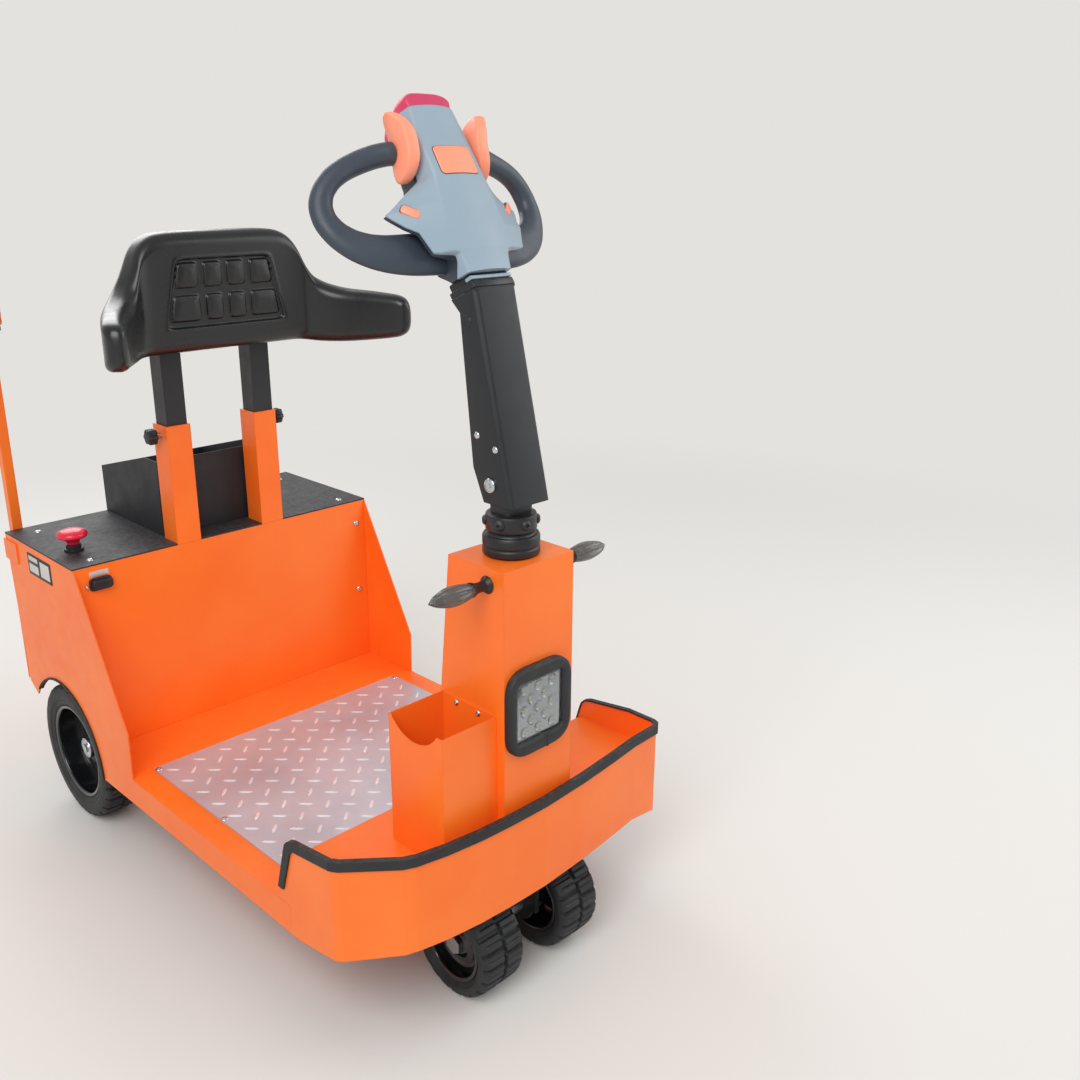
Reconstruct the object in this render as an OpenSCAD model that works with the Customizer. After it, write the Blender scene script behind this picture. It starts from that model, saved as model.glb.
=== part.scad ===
// Compact stand-on electric tow tractor for airport baggage carts.
// The operator stands on the tread plate, leans on the backrest and steers with the tiller.
// Millimetres. +Z is up, the front of the vehicle points to -Y and its left side to +X.
// The origin is on the floor, under the middle of the vehicle's length and width.

/* [Body] */
// Width over the side panels
body_w = 700; // [640:1:800]
// Thickness of the folded steel sheet
sheet = 3; // [2.5:0.5:4]
// Height of the battery lid above the floor
lid_z = 610; // [590:1:640]
// Depth of the battery box, front to back
box_d = 330; // [310:1:360]
// Height of the standing platform above the floor
deck_z = 214; // [208:1:222]
// Height of the skirt's lower edge above the floor
skirt_z = 158; // [150:1:166]
// Length of the standing platform, from the battery box to the step
platform_len = 706; // [680:1:760]

/* [Apron] */
// Height of the tray floor above the floor
tray_z = 301; // [290:1:310]
// Height of the apron's front rim
rim_z = 365; // [350:1:380]
// Height of the apron's lower edge at the front
apron_z = 196; // [195:1:200]
// Height of the apron's lower edge at its corners
apron_corner_z = 175; // [166:1:190]
// Length of the tray from its step to the middle of its front wall
tray_len = 239; // [236:1:255]
// Distance from the step forward to the steering axis
column_setback = 157; // [152:1:159]

/* [Wheels] */
// Diameter of the twin front tyres over the lugs
front_tyre_d = 190; // [180:1:190]
// Width of one front tyre
front_tyre_w = 92; // [80:1:94]
// Diameter of the rear tyres over the lugs
rear_tyre_d = 300; // [286:1:300]
// Width of a rear tyre
rear_tyre_w = 85; // [70:1:88]
// Distance from the front panel back to the rear axle
axle_back = 145; // [145:1:150]

/* [Column] */
// Width of the steering column
column_w = 154; // [140:1:160]
// Height of the column's top above the floor
column_z = 777; // [750:1:790]
// Depth of the column at its top
column_d = 126; // [122:1:132]

/* [Tiller] */
// Height of the tiller's pivot above the floor
pivot_z = 895; // [888:1:900]
// Width of the folded tiller arm
arm_w = 86; // [84:1:90]
// Length of the tiller arm from its pivot to its head
arm_len = 283; // [270:1:300]

/* [Backrest] */
// Height of the post sleeves' open tops above the floor
sleeve_z = 856; // [840:1:870]
// Outer width of a post sleeve
sleeve_w = 53; // [50:1:56]
// Width of the square tube that slides in a sleeve
tube_w = 44; // [40:1:44]
// Height of the pad's lower edge above the floor
pad_z = 1006; // [996:1:1020]

/* [Hidden] */

$fn = 48;

half_w = body_w / 2;
// Places along the length, measured from the face of the front panel
trim_t = 3.5;
hitch_len = 62;
seat_y = (platform_len + tray_len + trim_t - box_d - hitch_len) / 2;
rear_y = seat_y + box_d;
axle_y = seat_y + axle_back;
panel_foot_y = seat_y - 158;
step_y = seat_y - platform_len;
apron_front_y = step_y - tray_len;
apron_bend = [half_w - 92, apron_front_y + 23];
apron_corner_y = apron_front_y + 118;
rim_corner_z = rim_z - 9;
steer_y = step_y - column_setback;
trail = 12;
fork_y = steer_y + trail;
column_front_y = steer_y - column_d / 2;

front_r = front_tyre_d / 2;
rear_r = rear_tyre_d / 2;
twin_gap = 47;
twin_x = twin_gap + front_tyre_w / 2;
rear_x = half_w - 10 - rear_tyre_w / 2;
arch_r = 163;
arch_y = axle_y - 6;
arch_z = 160;
front_dish = 22;
rear_dish = -6;
hub_out = 6;

axle_d = 25;
run_fit = 0.05;
body_gap = 0.3;

shaft_d = 34;
post_x = 100;
post_d = 55;
tube_y = seat_y + sheet + 1 + tube_w / 2;
pivot_d = 16;
lean = 28;

orange = "#ff6b1a";
charcoal = "#2f3236";
black = "#17181a";
steel = "#b9bcc0";
blue_grey = "#9fb0ba";
peach = "#ff8a5c";
crimson = "#c4123f";
amber = "#ff8c1a";
smoke = "#6d6f72";

// A box from one corner to the opposite corner
module span(low, high) {
    translate(low) cube(high - low);
}

// A square outline with round corners, centred
module round_square(w, h, r) {
    square([w - 2 * r, h], center = true);
    square([w, h - 2 * r], center = true);
    for (x = [-1, 1], y = [-1, 1])
        translate([x * (w / 2 - r), y * (h / 2 - r)]) circle(r);
}

// An outline drawn in the Y and Z plane, extruded along X between two places
module across(x0, x1) {
    translate([x0, 0, 0]) rotate([90, 0, 90]) linear_extrude(x1 - x0) children();
}

// An outline drawn in the X and Z plane, extruded towards -Y from the place given
module forward(y, d) {
    translate([0, y, 0]) rotate([90, 0, 0]) linear_extrude(d) children();
}

// A cylinder along X, centred at a point
module rod_x(p, d, len) {
    translate(p) rotate([0, 90, 0]) cylinder(d = d, h = len, center = true);
}

// Both sides: the children and their mirror image
module both() {
    children();
    mirror([1, 0, 0]) children();
}

// A closed surface through rings of points that all have the same count
module skin(rings) {
    n = len(rings[0]);
    m = len(rings);
    points = [for (ring = rings) each ring];
    sides = [for (i = [0 : m - 2], j = [0 : n - 1])
        [i * n + j, i * n + (j + 1) % n, (i + 1) * n + (j + 1) % n, (i + 1) * n + j]];
    low_cap = [for (j = [n - 1 : -1 : 0]) j];
    high_cap = [for (j = [0 : n - 1]) (m - 1) * n + j];
    polyhedron(points, concat(sides, [low_cap], [high_cap]), convexity = 6);
}

// Signed power, which squares off an ellipse
function soft(v, p) = sign(v) * pow(abs(v), p);

/* Under the body */

rail_x = 190;
rail_w = 40;
rail_h = 27;
rail_z = deck_z - sheet - rail_h;
head_plate_z = tray_z - sheet - 40;

module frame_rails() {
    rail_front_y = step_y + 20;
    color(black) {
        both() difference() {
            span([rail_x - rail_w / 2, rail_front_y, rail_z], [rail_x + rail_w / 2, rear_y - sheet, rail_z + rail_h]);
            span([rail_x - rail_w / 2 + sheet, rail_front_y - 1, rail_z + sheet],
                 [rail_x + rail_w / 2 - sheet, rear_y, rail_z + rail_h - sheet]);
        }
        for (y = [rail_front_y + 60, seat_y - 120])
            span([-rail_x + rail_w / 2, y, rail_z], [rail_x - rail_w / 2, y + rail_w, rail_z + rail_h]);
        // Head plate that carries the steering tube, above the wheels
        difference() {
            span([-rail_x - rail_w / 2, column_front_y + 10, head_plate_z],
                 [rail_x + rail_w / 2, step_y - sheet, head_plate_z + 6]);
            translate([0, steer_y, 0]) cylinder(d = head_tube_d, h = 400);
        }
        both() span([rail_x + 14, column_front_y + 10, head_plate_z + 6],
                    [rail_x + rail_w / 2, step_y - sheet, tray_z - sheet]);
    }
}

motor_place = [-92, axle_y - 100, rear_r - 5];
hub_end = rear_x + rear_dish + hub_out;
axle_tube_end = rear_x - rear_tyre_w / 2 - 10;
module drive_axle() {
    color(black) difference() {
        union() {
            rod_x([0, axle_y, rear_r], 54, 2 * axle_tube_end);
            rod_x([40, axle_y, rear_r], 150, 90);
            rod_x([-15, axle_y, rear_r], 120, 24);
            rod_x([9, motor_place[1], motor_place[2]], 104, 72);
            both() span([rail_x - 16, axle_y - 24, rear_r], [rail_x + 16, axle_y + 24, rail_z]);
        }
        span([-400, axle_y - 200, deck_z - sheet], [400, axle_y + 200, deck_z + 60]);
    }
    color(steel) both() {
        rod_x([(hub_end + axle_tube_end) / 2, axle_y, rear_r], axle_d, hub_end - axle_tube_end);
        translate([hub_end + body_gap, axle_y, rear_r]) rotate([0, 90, 0]) cylinder(d = 44, h = 14, $fn = 6);
        rod_x([hub_end, axle_y, rear_r], axle_d, 6);
    }
}

module drive_motor() {
    color(charcoal) {
        rod_x([-92, motor_place[1], motor_place[2]], 92, 130);
        rod_x([-162, motor_place[1], motor_place[2]], 80, 10);
    }
}

module tow_hitch() {
    plate_y = rear_y;
    jaw_r = 27;
    jaw_y = rear_y + hitch_len - jaw_r;
    hitch_z = 250;
    color(black) {
        difference() {
            union() {
                span([-60, plate_y, hitch_z - 50], [60, plate_y + 8, hitch_z + 50]);
                for (z = [-34, 22]) {
                    span([-jaw_r, plate_y + 8, hitch_z + z], [jaw_r, jaw_y, hitch_z + z + 12]);
                    translate([0, jaw_y, hitch_z + z]) cylinder(r = jaw_r, h = 12);
                }
            }
            translate([0, jaw_y, hitch_z - 60]) cylinder(d = 21, h = 120);
        }
    }
}

/* Body sheet */

module deck_pan() {
    well_x = rear_x - rear_tyre_w / 2 - 10;
    color(orange) {
        // Platform with its folded skirts
        span([-half_w, step_y, deck_z - sheet], [half_w, panel_foot_y, deck_z]);
        span([-half_w + sheet, panel_foot_y, deck_z - sheet], [half_w - sheet, seat_y + sheet, deck_z]);
        span([-well_x, seat_y + sheet, deck_z - sheet], [well_x, rear_y - sheet, deck_z]);
        both() span([half_w - sheet, step_y, skirt_z], [half_w, panel_foot_y, deck_z - sheet]);
    }
}

// A path moved inwards by a distance, square to its own run at each point
function unit(v) = v / norm(v);
function inset_path(p, d) = [for (i = [0 : len(p) - 1]) let (
    before = i == 0 ? [0, -1] : unit(p[i] - p[i - 1]),
    after = i == len(p) - 1 ? [-1, 0] : unit(p[i + 1] - p[i]),
    along = unit(before + after)
) p[i] + [along[1], -along[0]] * d / (along * before)];

// The bow of the front wall from a bend to the middle
function bow(bend, power) = [for (k = [1, 0.8, 0.55, 0.3, 0])
    [bend[0] * k, apron_front_y + (bend[1] - apron_front_y) * pow(k, power)]];
// Halves of the apron's outer face seen from above: a tight corner on the left, a slanting one on the right
left_bend = [half_w - 16, apron_front_y + 37];
left_half = concat([left_bend + [16, 19], left_bend + [12, 9]], bow(left_bend, 1.4));
right_half = concat(
    [[half_w, apron_corner_y], [half_w - 7, apron_corner_y - 13], apron_bend + [18, 11]], bow(apron_bend, 3));
// The whole outline at a distance inside the outer face, from the left round the front to the right
function apron_outline(inset, back_y) = let (
    left = inset_path(left_half, inset),
    right = inset_path(right_half, inset)
) concat(
    [[half_w - inset, back_y]], left,
    [for (k = [len(right) - 2 : -1 : 0]) [-right[k][0], right[k][1]]],
    [[-half_w + inset, back_y]]);

// The space the apron wall fills, seen from the side and from the front, its rim moved up by a step
apron_rear_y = step_y - 9;
rim_rear_z = rim_z - 24;
module apron_space(up) {
    intersection() {
        across(-half_w - 10, half_w + 10) polygon([
            [step_y + 46, deck_z], [step_y + 30, deck_z + 14 + up], [apron_rear_y + 13, rim_rear_z - 26 + up],
            [apron_rear_y + 8, rim_rear_z - 12 + up], [apron_rear_y, rim_rear_z - 4 + up],
            [apron_rear_y - 12, rim_rear_z + 0.5 + up], [apron_corner_y, rim_corner_z + up], [apron_corner_y, rim_z + 60],
            [apron_front_y - 30, rim_z + 60], [apron_front_y - 30, skirt_z], [step_y, skirt_z], [step_y, deck_z]
        ]);
        forward(step_y + 60, tray_len + 100) polygon([
            [-half_w - 10, rim_corner_z + up], [-half_w, rim_corner_z + up], [-apron_bend[0], rim_z + up],
            [apron_bend[0], rim_z + up], [half_w, rim_corner_z + up], [half_w + 10, rim_corner_z + up],
            [half_w + 10, skirt_z], [-half_w - 10, skirt_z]
        ]);
    }
}

// What the lower edge leaves free: it rises from the skirt to the corner and on to the bend
module apron_below() {
    across(-half_w - 20, half_w + 20) polygon([
        [step_y - 20, skirt_z], [apron_corner_y, apron_corner_z], [apron_front_y - 40, apron_corner_z],
        [apron_front_y - 40, 100], [step_y - 20, 100]
    ]);
    forward(apron_corner_y, 200) polygon([
        [-half_w - 20, apron_corner_z], [-half_w, apron_corner_z], [-apron_bend[0], apron_z], [apron_bend[0], apron_z],
        [half_w, apron_corner_z], [half_w + 20, apron_corner_z], [half_w + 20, 100], [-half_w - 20, 100]
    ]);
}

module front_apron() {
    color(orange) {
        difference() {
            intersection() {
                linear_extrude(500) polygon(apron_outline(0, step_y + 46));
                apron_space(0);
            }
            translate([0, 0, -1]) linear_extrude(502) polygon(apron_outline(sheet, step_y + 60));
            apron_below();
        }
        // Tray floor and the step down to the platform
        difference() {
            translate([0, 0, tray_z - sheet]) linear_extrude(sheet) polygon(apron_outline(sheet, step_y));
            translate([0, steer_y, 0]) cylinder(d = head_tube_d, h = 400);
        }
        span([-half_w + sheet, step_y - sheet, deck_z - sheet], [half_w - sheet, step_y, tray_z - sheet]);
    }
}

trim_h = 13;
module apron_trim() {
    color(black) difference() {
        intersection() {
            linear_extrude(500) polygon(apron_outline(-trim_t, step_y + 46));
            apron_space(trim_t);
        }
        translate([0, 0, -1]) linear_extrude(502) polygon(apron_outline(sheet + trim_t, step_y + 60));
        intersection() {
            linear_extrude(500) polygon(apron_outline(0, step_y + 46));
            apron_space(0);
        }
        // Everything lower than the strip's lower edges
        intersection() {
            across(-half_w - 10, half_w + 10) polygon([
                [step_y + 60, deck_z - 20], [step_y + 50, deck_z + 26], [step_y + 13, deck_z + 26],
                [apron_rear_y - 4, rim_rear_z - 24], [apron_rear_y - 12, rim_rear_z - trim_h],
                [apron_corner_y, rim_corner_z - trim_h], [apron_corner_y, rim_z - trim_h],
                [apron_front_y - 40, rim_z - trim_h], [apron_front_y - 40, 100], [step_y + 60, 100]
            ]);
            forward(step_y + 80, tray_len + 160) polygon([
                [-half_w - 10, rim_corner_z - trim_h], [-half_w, rim_corner_z - trim_h],
                [-apron_bend[0], rim_z - trim_h], [apron_bend[0], rim_z - trim_h],
                [half_w, rim_corner_z - trim_h], [half_w + 10, rim_corner_z - trim_h],
                [half_w + 10, 90], [-half_w - 10, 90]
            ]);
        }
    }
}

plate_edge = 48;
module tread_plate() {
    color(steel) span([-half_w + plate_edge, step_y + 2, deck_z], [half_w - plate_edge, seat_y - 150, deck_z + 3]);
}

// Side panel seen from the side, with its sloping front edge and the wheel arch
module side_profile() {
    rear_low_z = 268;
    difference() {
        polygon([
            [seat_y, lid_z - sheet], [rear_y, lid_z - sheet], [rear_y - 18, rear_low_z],
            [arch_y, skirt_z], [panel_foot_y, skirt_z], [panel_foot_y, deck_z + 10],
            [panel_foot_y - 2, deck_z + 96]
        ]);
        translate([arch_y, arch_z]) circle(arch_r, $fn = 72);
        translate([arch_y - 40, 0]) square([300, arch_z]);
    }
}

module side_panels() {
    doubler = 2;
    color(orange) both() {
        across(half_w - sheet, half_w) side_profile();
        // Doubler that closes the arch towards the standing room
        across(half_w - sheet - doubler, half_w - sheet)
            translate([seat_y - 34, deck_z]) square([34, 56]);
    }
}

module front_panel() {
    color(orange) span([-half_w + sheet, seat_y, deck_z], [half_w - sheet, seat_y + sheet, lid_z - sheet]);
}

sleeve_low_z = 540;
module post_sleeves() {
    hole = tube_w / 2 + body_gap;
    color(orange) both() difference() {
        union() {
            span([post_x - sleeve_w / 2, seat_y, lid_z - sheet], [post_x + sleeve_w / 2, seat_y + post_d, sleeve_z]);
            span([post_x - sleeve_w / 2, seat_y + sheet, sleeve_low_z],
                 [post_x + sleeve_w / 2, seat_y + post_d, lid_z]);
        }
        span([post_x - hole, tube_y - hole, sleeve_low_z - 1], [post_x + hole, tube_y + hole, sleeve_z + 1]);
    }
}

module rear_panel() {
    rear_low_z = 268;
    color(orange) {
        span([-half_w + sheet, rear_y - sheet, rear_low_z], [half_w - sheet, rear_y, lid_z - sheet]);
        span([-rail_x - rail_w / 2, rear_y - sheet, rail_z - 6], [rail_x + rail_w / 2, rear_y, rear_low_z]);
    }
}

module battery_lid() {
    color(charcoal) difference() {
        union() {
            span([-half_w, seat_y, lid_z - sheet], [half_w, rear_y, lid_z]);
        }
        for (x = [-post_x, post_x])
            span([x - sleeve_w / 2 - 0.5, seat_y - 1, lid_z - 20],
                 [x + sleeve_w / 2 + 0.5, seat_y + post_d + 0.5, lid_z + 1]);
    }
}

bin_half_w = 124;
bin_y = seat_y + 64;
bin_front_h = 162;
bin_rear_h = 105;
module storage_bin() {
    bin_t = 2;
    color(charcoal) difference() {
        across(-bin_half_w, bin_half_w) polygon([
            [bin_y, lid_z], [rear_y, lid_z], [rear_y, lid_z + bin_rear_h],
            [bin_y + 54, lid_z + bin_front_h], [bin_y, lid_z + bin_front_h]
        ]);
        span([-bin_half_w + bin_t, bin_y + bin_t, lid_z + bin_t],
             [bin_half_w - bin_t, rear_y - bin_t, lid_z + bin_front_h + 10]);
    }
}

module arch_trims() {
    color(black) both() difference() {
        across(half_w - sheet - trim_t, half_w + trim_t) difference() {
            translate([arch_y, arch_z]) difference() {
                circle(arch_r + 5, $fn = 72);
                circle(arch_r - trim_t, $fn = 72);
            }
            side_profile();
            translate([arch_y - 300, -50]) square([600, skirt_z + 50]);
            translate([arch_y + 120, 0]) square([300, arch_z + 104]);
        }
        across(half_w - 20, half_w - sheet) translate([seat_y - 60, deck_z - sheet]) square([60 + sheet, 80]);
    }
}

module battery_block() {
    color(charcoal) span([-230, seat_y + 72, deck_z], [230, rear_y - 30, deck_z + 250]);
}

/* Fittings on the battery box */

module emergency_stop() {
    translate([-half_w + 54, seat_y + 111, lid_z]) {
        color(black) cylinder(d = 34, h = 6);
        color(crimson) rotate_extrude() polygon([
            [0, 6], [16, 6], [16, 20], [19, 25], [29, 30], [30, 36], [26, 42], [14, 46], [0, 47]
        ]);
    }
}

module charge_socket() {
    socket_x = -half_w + 53;
    color(black) forward(seat_y, 10) translate([socket_x - 2, lid_z - 43]) round_square(40, 20, 6);
    color(black) forward(seat_y - 10, 6) translate([socket_x, lid_z - 40]) round_square(46, 24, 8);
}

pole_w = 20;
pole_y = rear_y + 12;
pole_x = -half_w + 28.5;
module beacon_pole() {
    pole_low_z = 550;
    pole_top_z = 1030;
    color(orange) {
        span([pole_x - pole_w / 2, pole_y - pole_w / 2, pole_low_z],
             [pole_x + pole_w / 2, pole_y + pole_w / 2, pole_top_z]);
        span([-half_w - 3, pole_y - 70, lid_z - 58], [-half_w, rear_y + 5, lid_z - 14]);
        span([-half_w - 3, rear_y + 2, lid_z - 58], [pole_x - pole_w / 2, rear_y + 5, lid_z - 14]);
    }
}

module beacon() {
    translate([pole_x, pole_y, 1030]) {
        color(black) cylinder(d = 56, h = 12);
        color(amber) translate([0, 0, 12]) rotate_extrude() polygon([
            [0, 0], [31, 0], [32, 6], [32, 46], [30, 56], [22, 61], [0, 62]
        ]);
    }
}

module clamp_knobs() {
    knob_z = sleeve_z - 21;
    color(black) both() {
        rod_x([post_x + sleeve_w / 2 + 5, seat_y + 28, knob_z], 12, 10);
        translate([post_x + sleeve_w / 2 + 10, seat_y + 28, knob_z]) rotate([0, 90, 0]) difference() {
            cylinder(d = 34, h = 20);
            for (a = [0 : 60 : 300]) rotate(a) translate([20, 0, -1]) cylinder(d = 12, h = 22, $fn = 24);
        }
    }
}

/* Steering column */

column_lean = 50;
module column_profile(inset) {
    polygon([
        [column_front_y + inset, tray_z], [column_front_y + column_d + column_lean - inset, tray_z],
        [column_front_y + column_d - inset, column_z - inset], [column_front_y + inset, column_z - inset]
    ]);
}

module steering_column() {
    color(orange) difference() {
        across(-column_w / 2, column_w / 2) column_profile(0);
        difference() {
            across(-column_w / 2 + sheet, column_w / 2 - sheet) column_profile(sheet);
            translate([0, steer_y, 0]) cylinder(d = 10, h = 1);
        }
        translate([0, steer_y, column_z - 20]) cylinder(d = 52, h = 40);
    }
}

head_tube_d = 52;
module head_tube() {
    color(black) translate([0, steer_y, 0]) difference() {
        union() {
            translate([0, 0, head_plate_z]) cylinder(d = head_tube_d, h = column_z - head_plate_z);
            translate([0, 0, head_plate_z + 6]) cylinder(d = 96, h = 6);
        }
        translate([0, 0, head_plate_z - 20]) cylinder(d = shaft_d + 2 * run_fit, h = column_z);
    }
}

pocket_w = 114;
pocket_y = [column_front_y + 17, column_front_y + 147];
pocket_z = 533;
module side_pocket() {
    wall = 2;
    outer_x = -column_w / 2 - pocket_w;
    scoop_y = (pocket_y[0] + pocket_y[1]) / 2 + 4;
    color(orange) difference() {
        span([outer_x, pocket_y[0], tray_z], [-column_w / 2, pocket_y[1], pocket_z]);
        span([outer_x + wall, pocket_y[0] + wall, tray_z + wall],
             [-column_w / 2 - wall, pocket_y[1] - wall, pocket_z + 1]);
        rod_x([outer_x, scoop_y, pocket_z + 37], 134, 3 * wall);
    }
}

lamp_x = -6;
lamp_z = 534;
lens_w = 103;
module headlight_bezel() {
    bezel_deep = 14;
    color(black) difference() {
        union() {
            forward(column_front_y, bezel_deep - 4) translate([lamp_x, lamp_z]) round_square(141, 152, 34);
            forward(column_front_y, bezel_deep) translate([lamp_x, lamp_z]) round_square(133, 144, 30);
        }
        forward(column_front_y + 1, 60) translate([lamp_x, lamp_z]) round_square(lens_w, lens_w, 14);
    }
}

// Rows of reflector bowls: how many are in each row
lamp_rows = [3, 2, 3, 2, 3];
module headlight() {
    lamp_face = 8;
    bowl_pitch = 31;
    row_pitch = 18.5;
    color(smoke) difference() {
        forward(column_front_y, lamp_face) translate([lamp_x, lamp_z]) round_square(lens_w, lens_w, 14);
        for (row = [0 : 4], k = [0 : lamp_rows[row] - 1])
            translate([lamp_x + (k - (lamp_rows[row] - 1) / 2) * bowl_pitch, column_front_y - lamp_face,
                       lamp_z + (row - 2) * row_pitch])
                rotate([-90, 0, 0]) cylinder(d1 = 19, d2 = 8, h = 6, $fn = 24);
    }
}

module turn_signals() {
    both() translate([column_w / 2, column_front_y + 36, column_z - 27]) rotate([0, 90, 0]) {
        color(black) rotate_extrude() polygon([[0, 0], [13, 0], [13, 3], [8, 8], [7, 26], [11, 34], [0, 34]]);
        color(smoke) translate([0, 0, 34]) rotate_extrude() polygon([
            [0, 0], [11, 0], [15, 10], [17, 24], [14, 48], [8, 70], [2, 84], [0, 84]
        ]);
    }
}

/* Steered front end */

boss_low_z = column_z + body_gap;
module steering_shaft() {
    color(steel) translate([0, steer_y, tray_z - 60]) cylinder(d = shaft_d, h = boss_low_z - tray_z + 60);
}

module steering_boss() {
    color(black) difference() {
        union() {
            translate([0, steer_y, boss_low_z]) cylinder(d = 92, h = 34);
            translate([0, steer_y, boss_low_z + 34]) cylinder(d = 78, h = 33);
            span([-28, steer_y - 20, boss_low_z + 67], [28, steer_y + 20, pivot_z]);
            rod_x([0, steer_y, pivot_z], 40, 56);
        }
    }
    color(steel) {
        rod_x([0, steer_y, pivot_z], pivot_d, arm_w + 2);
        both() rod_x([arm_w / 2 + 3.3, steer_y, pivot_z], 34, 6);
    }
}

module front_fork() {
    crown_z = 202;
    color(black) {
        translate([0, steer_y, crown_z]) cylinder(d = 96, h = tray_z - 60 - crown_z);
        both() difference() {
            union() {
                span([29, steer_y - 30, front_r], [37, steer_y + 30, crown_z]);
                rod_x([33, fork_y, front_r], 60, 8);
                span([29, fork_y - 30, front_r], [37, fork_y + 30, front_r + 30]);
            }
            rod_x([33, fork_y, front_r], axle_d, 20);
        }
    }
}

module front_axle() {
    axle_end = twin_x + front_dish + hub_out;
    color(steel) {
        rod_x([0, fork_y, front_r], axle_d, 2 * axle_end + 4);
        both() {
            rod_x([(37 + twin_x - front_tyre_w / 2 + 8) / 2, fork_y, front_r], 36, twin_gap + 8 - 37 - 2 * body_gap);
            translate([axle_end + body_gap, fork_y, front_r]) rotate([0, 90, 0]) cylinder(d = 36, h = 9, $fn = 6);
        }
    }
}

// Half of a tyre's section: radius against width, with round shoulders
module tyre(r, w, rim_r) {
    shoulder = 10;
    rotate([0, 90, 0]) rotate_extrude($fn = 72) {
        translate([rim_r, -w / 2 + shoulder]) square([r - rim_r, w - 2 * shoulder]);
        translate([rim_r, -w / 2 + 3]) square([r - shoulder - rim_r, w - 6]);
        for (s = [-1, 1]) translate([r - shoulder, s * (w / 2 - shoulder)]) circle(shoulder);
        for (s = [-1, 1]) translate([rim_r + 8, s * (w / 2 - 8)]) circle(8);
        translate([rim_r + 8, -w / 2]) square([r - rim_r - 8 - shoulder, w]);
    }
}

module front_tyres() {
    color(black) for (s = [-1, 1]) translate([s * twin_x, fork_y, front_r]) tyre(front_r, front_tyre_w, 62);
}

// A dished rim: section as radius and place across the width, dish towards +X
module rim(rim_r, w, hub_r, bore_d, dish) {
    t = 4;
    rotate([0, 90, 0]) rotate_extrude($fn = 72) difference() {
        union() {
            translate([rim_r - t, -w / 2 + 4]) square([t, w - 8]);
            translate([bore_d / 2, dish - t]) square([rim_r - bore_d / 2, t]);
            translate([bore_d / 2, -w / 2 + 8]) square([hub_r - bore_d / 2, w / 2 - 8 + dish + hub_out]);
        }
    }
}

module front_rims() {
    color(black) both() translate([twin_x, fork_y, front_r]) rim(62, front_tyre_w, 24, axle_d + 2 * run_fit, front_dish);
}

module rear_tyre() {
    color(black) translate([rear_x, axle_y, rear_r]) tyre(rear_r, rear_tyre_w, 100);
}

module rear_rim() {
    color(black) translate([rear_x, axle_y, rear_r]) rim(100, rear_tyre_w, 30, axle_d + 2 * run_fit, rear_dish);
}

/* Tiller */

// The arm from the side, from its pivot: lower end, front face, top and rear edge
arm_lean = 13;
module arm_profile(inset) {
    top = arm_len + 10;
    polygon([
        [17, -30 + inset], [-45 + inset, -30 + inset], [32 + inset, top], [84 - inset, top - 23],
        [65 - inset, top - 40], [40 - inset, 22]
    ]);
}

arm_top = [[32, arm_len + 10], [84, arm_len - 13]];
// The folded arm at a distance inside its faces, with its two front edges bevelled
arm_bevel = 6;
module arm_form(inset) {
    half = arm_w / 2 - inset;
    edge = arm_w / 2 - arm_bevel - inset * sqrt(2);
    slope = atan2(32 + 45, arm_len + 40);
    difference() {
        across(-half, half) arm_profile(inset);
        both() translate([0, -45, -30]) rotate([-slope, 0, 0]) translate([0, 0, -60]) linear_extrude(arm_len + 160)
            polygon([[edge - 10, -10], [edge + 30, -10], [edge + 30, 30]]);
    }
}
module tiller_arm() {
    wall = 3;
    color(charcoal) translate([0, steer_y, pivot_z]) difference() {
        arm_form(0);
        translate([0, 0, -4]) arm_form(wall);
        // Open foot that swings over the boss
        span([-arm_w / 2 + wall, -30, -60], [arm_w / 2 - wall, 60, 34]);
        rod_x([0, 0, 0], pivot_d + 2 * run_fit, 2 * arm_w);
    }
}

// The head's own frame: its middle, with Z along the head and -Y out of its face
head_place = [0, steer_y + 113, pivot_z + arm_len + 130];
module on_head() {
    translate(head_place) rotate([-lean, 0, 0]) children();
}

// Stations of the head's face: place along it, half width of the ridge and of the wings, place of their edges
head_rows = [
    [-120, 40, 44, -8], [-90, 43, 46, -8], [-85, 60, 90, -13], [-74, 60, 98, -6], [-56, 58, 103, 1],
    [-38, 56, 112, 9], [-24, 55, 121, 15], [-12, 54, 128, 20], [-2, 53, 111, 18], [12, 52, 91, 14],
    [29, 50, 64, 8], [34, 50, 57, 7], [112, 42, 57, 4], [112.5, 40, 44, -9], [136, 37, 42, -10], [148, 33, 38, -8]
];
head_top = 148;
ridge_y = -14;
wing_t = 7;
face_back = 12;
head_half_w = 57;
neck_half_w = 46;
head_back = 54;
hood_half_w = 44;
hood_z = 113;
function face_ring(row) = let (inner = min(row[2], row[0] < -30 ? neck_half_w : head_half_w) - 1, half = [
    [row[1], ridge_y + (row[0] > 130 ? (row[0] - 130) * 0.4 : 0)], [row[2], row[3]],
    [row[2], max(row[3] + wing_t, face_back - 12)], [inner, face_back]
]) concat([for (k = [3 : -1 : 0]) [half[k][0], half[k][1], row[0]]], [for (k = [0 : 3]) [-half[k][0], half[k][1], row[0]]]);
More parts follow.
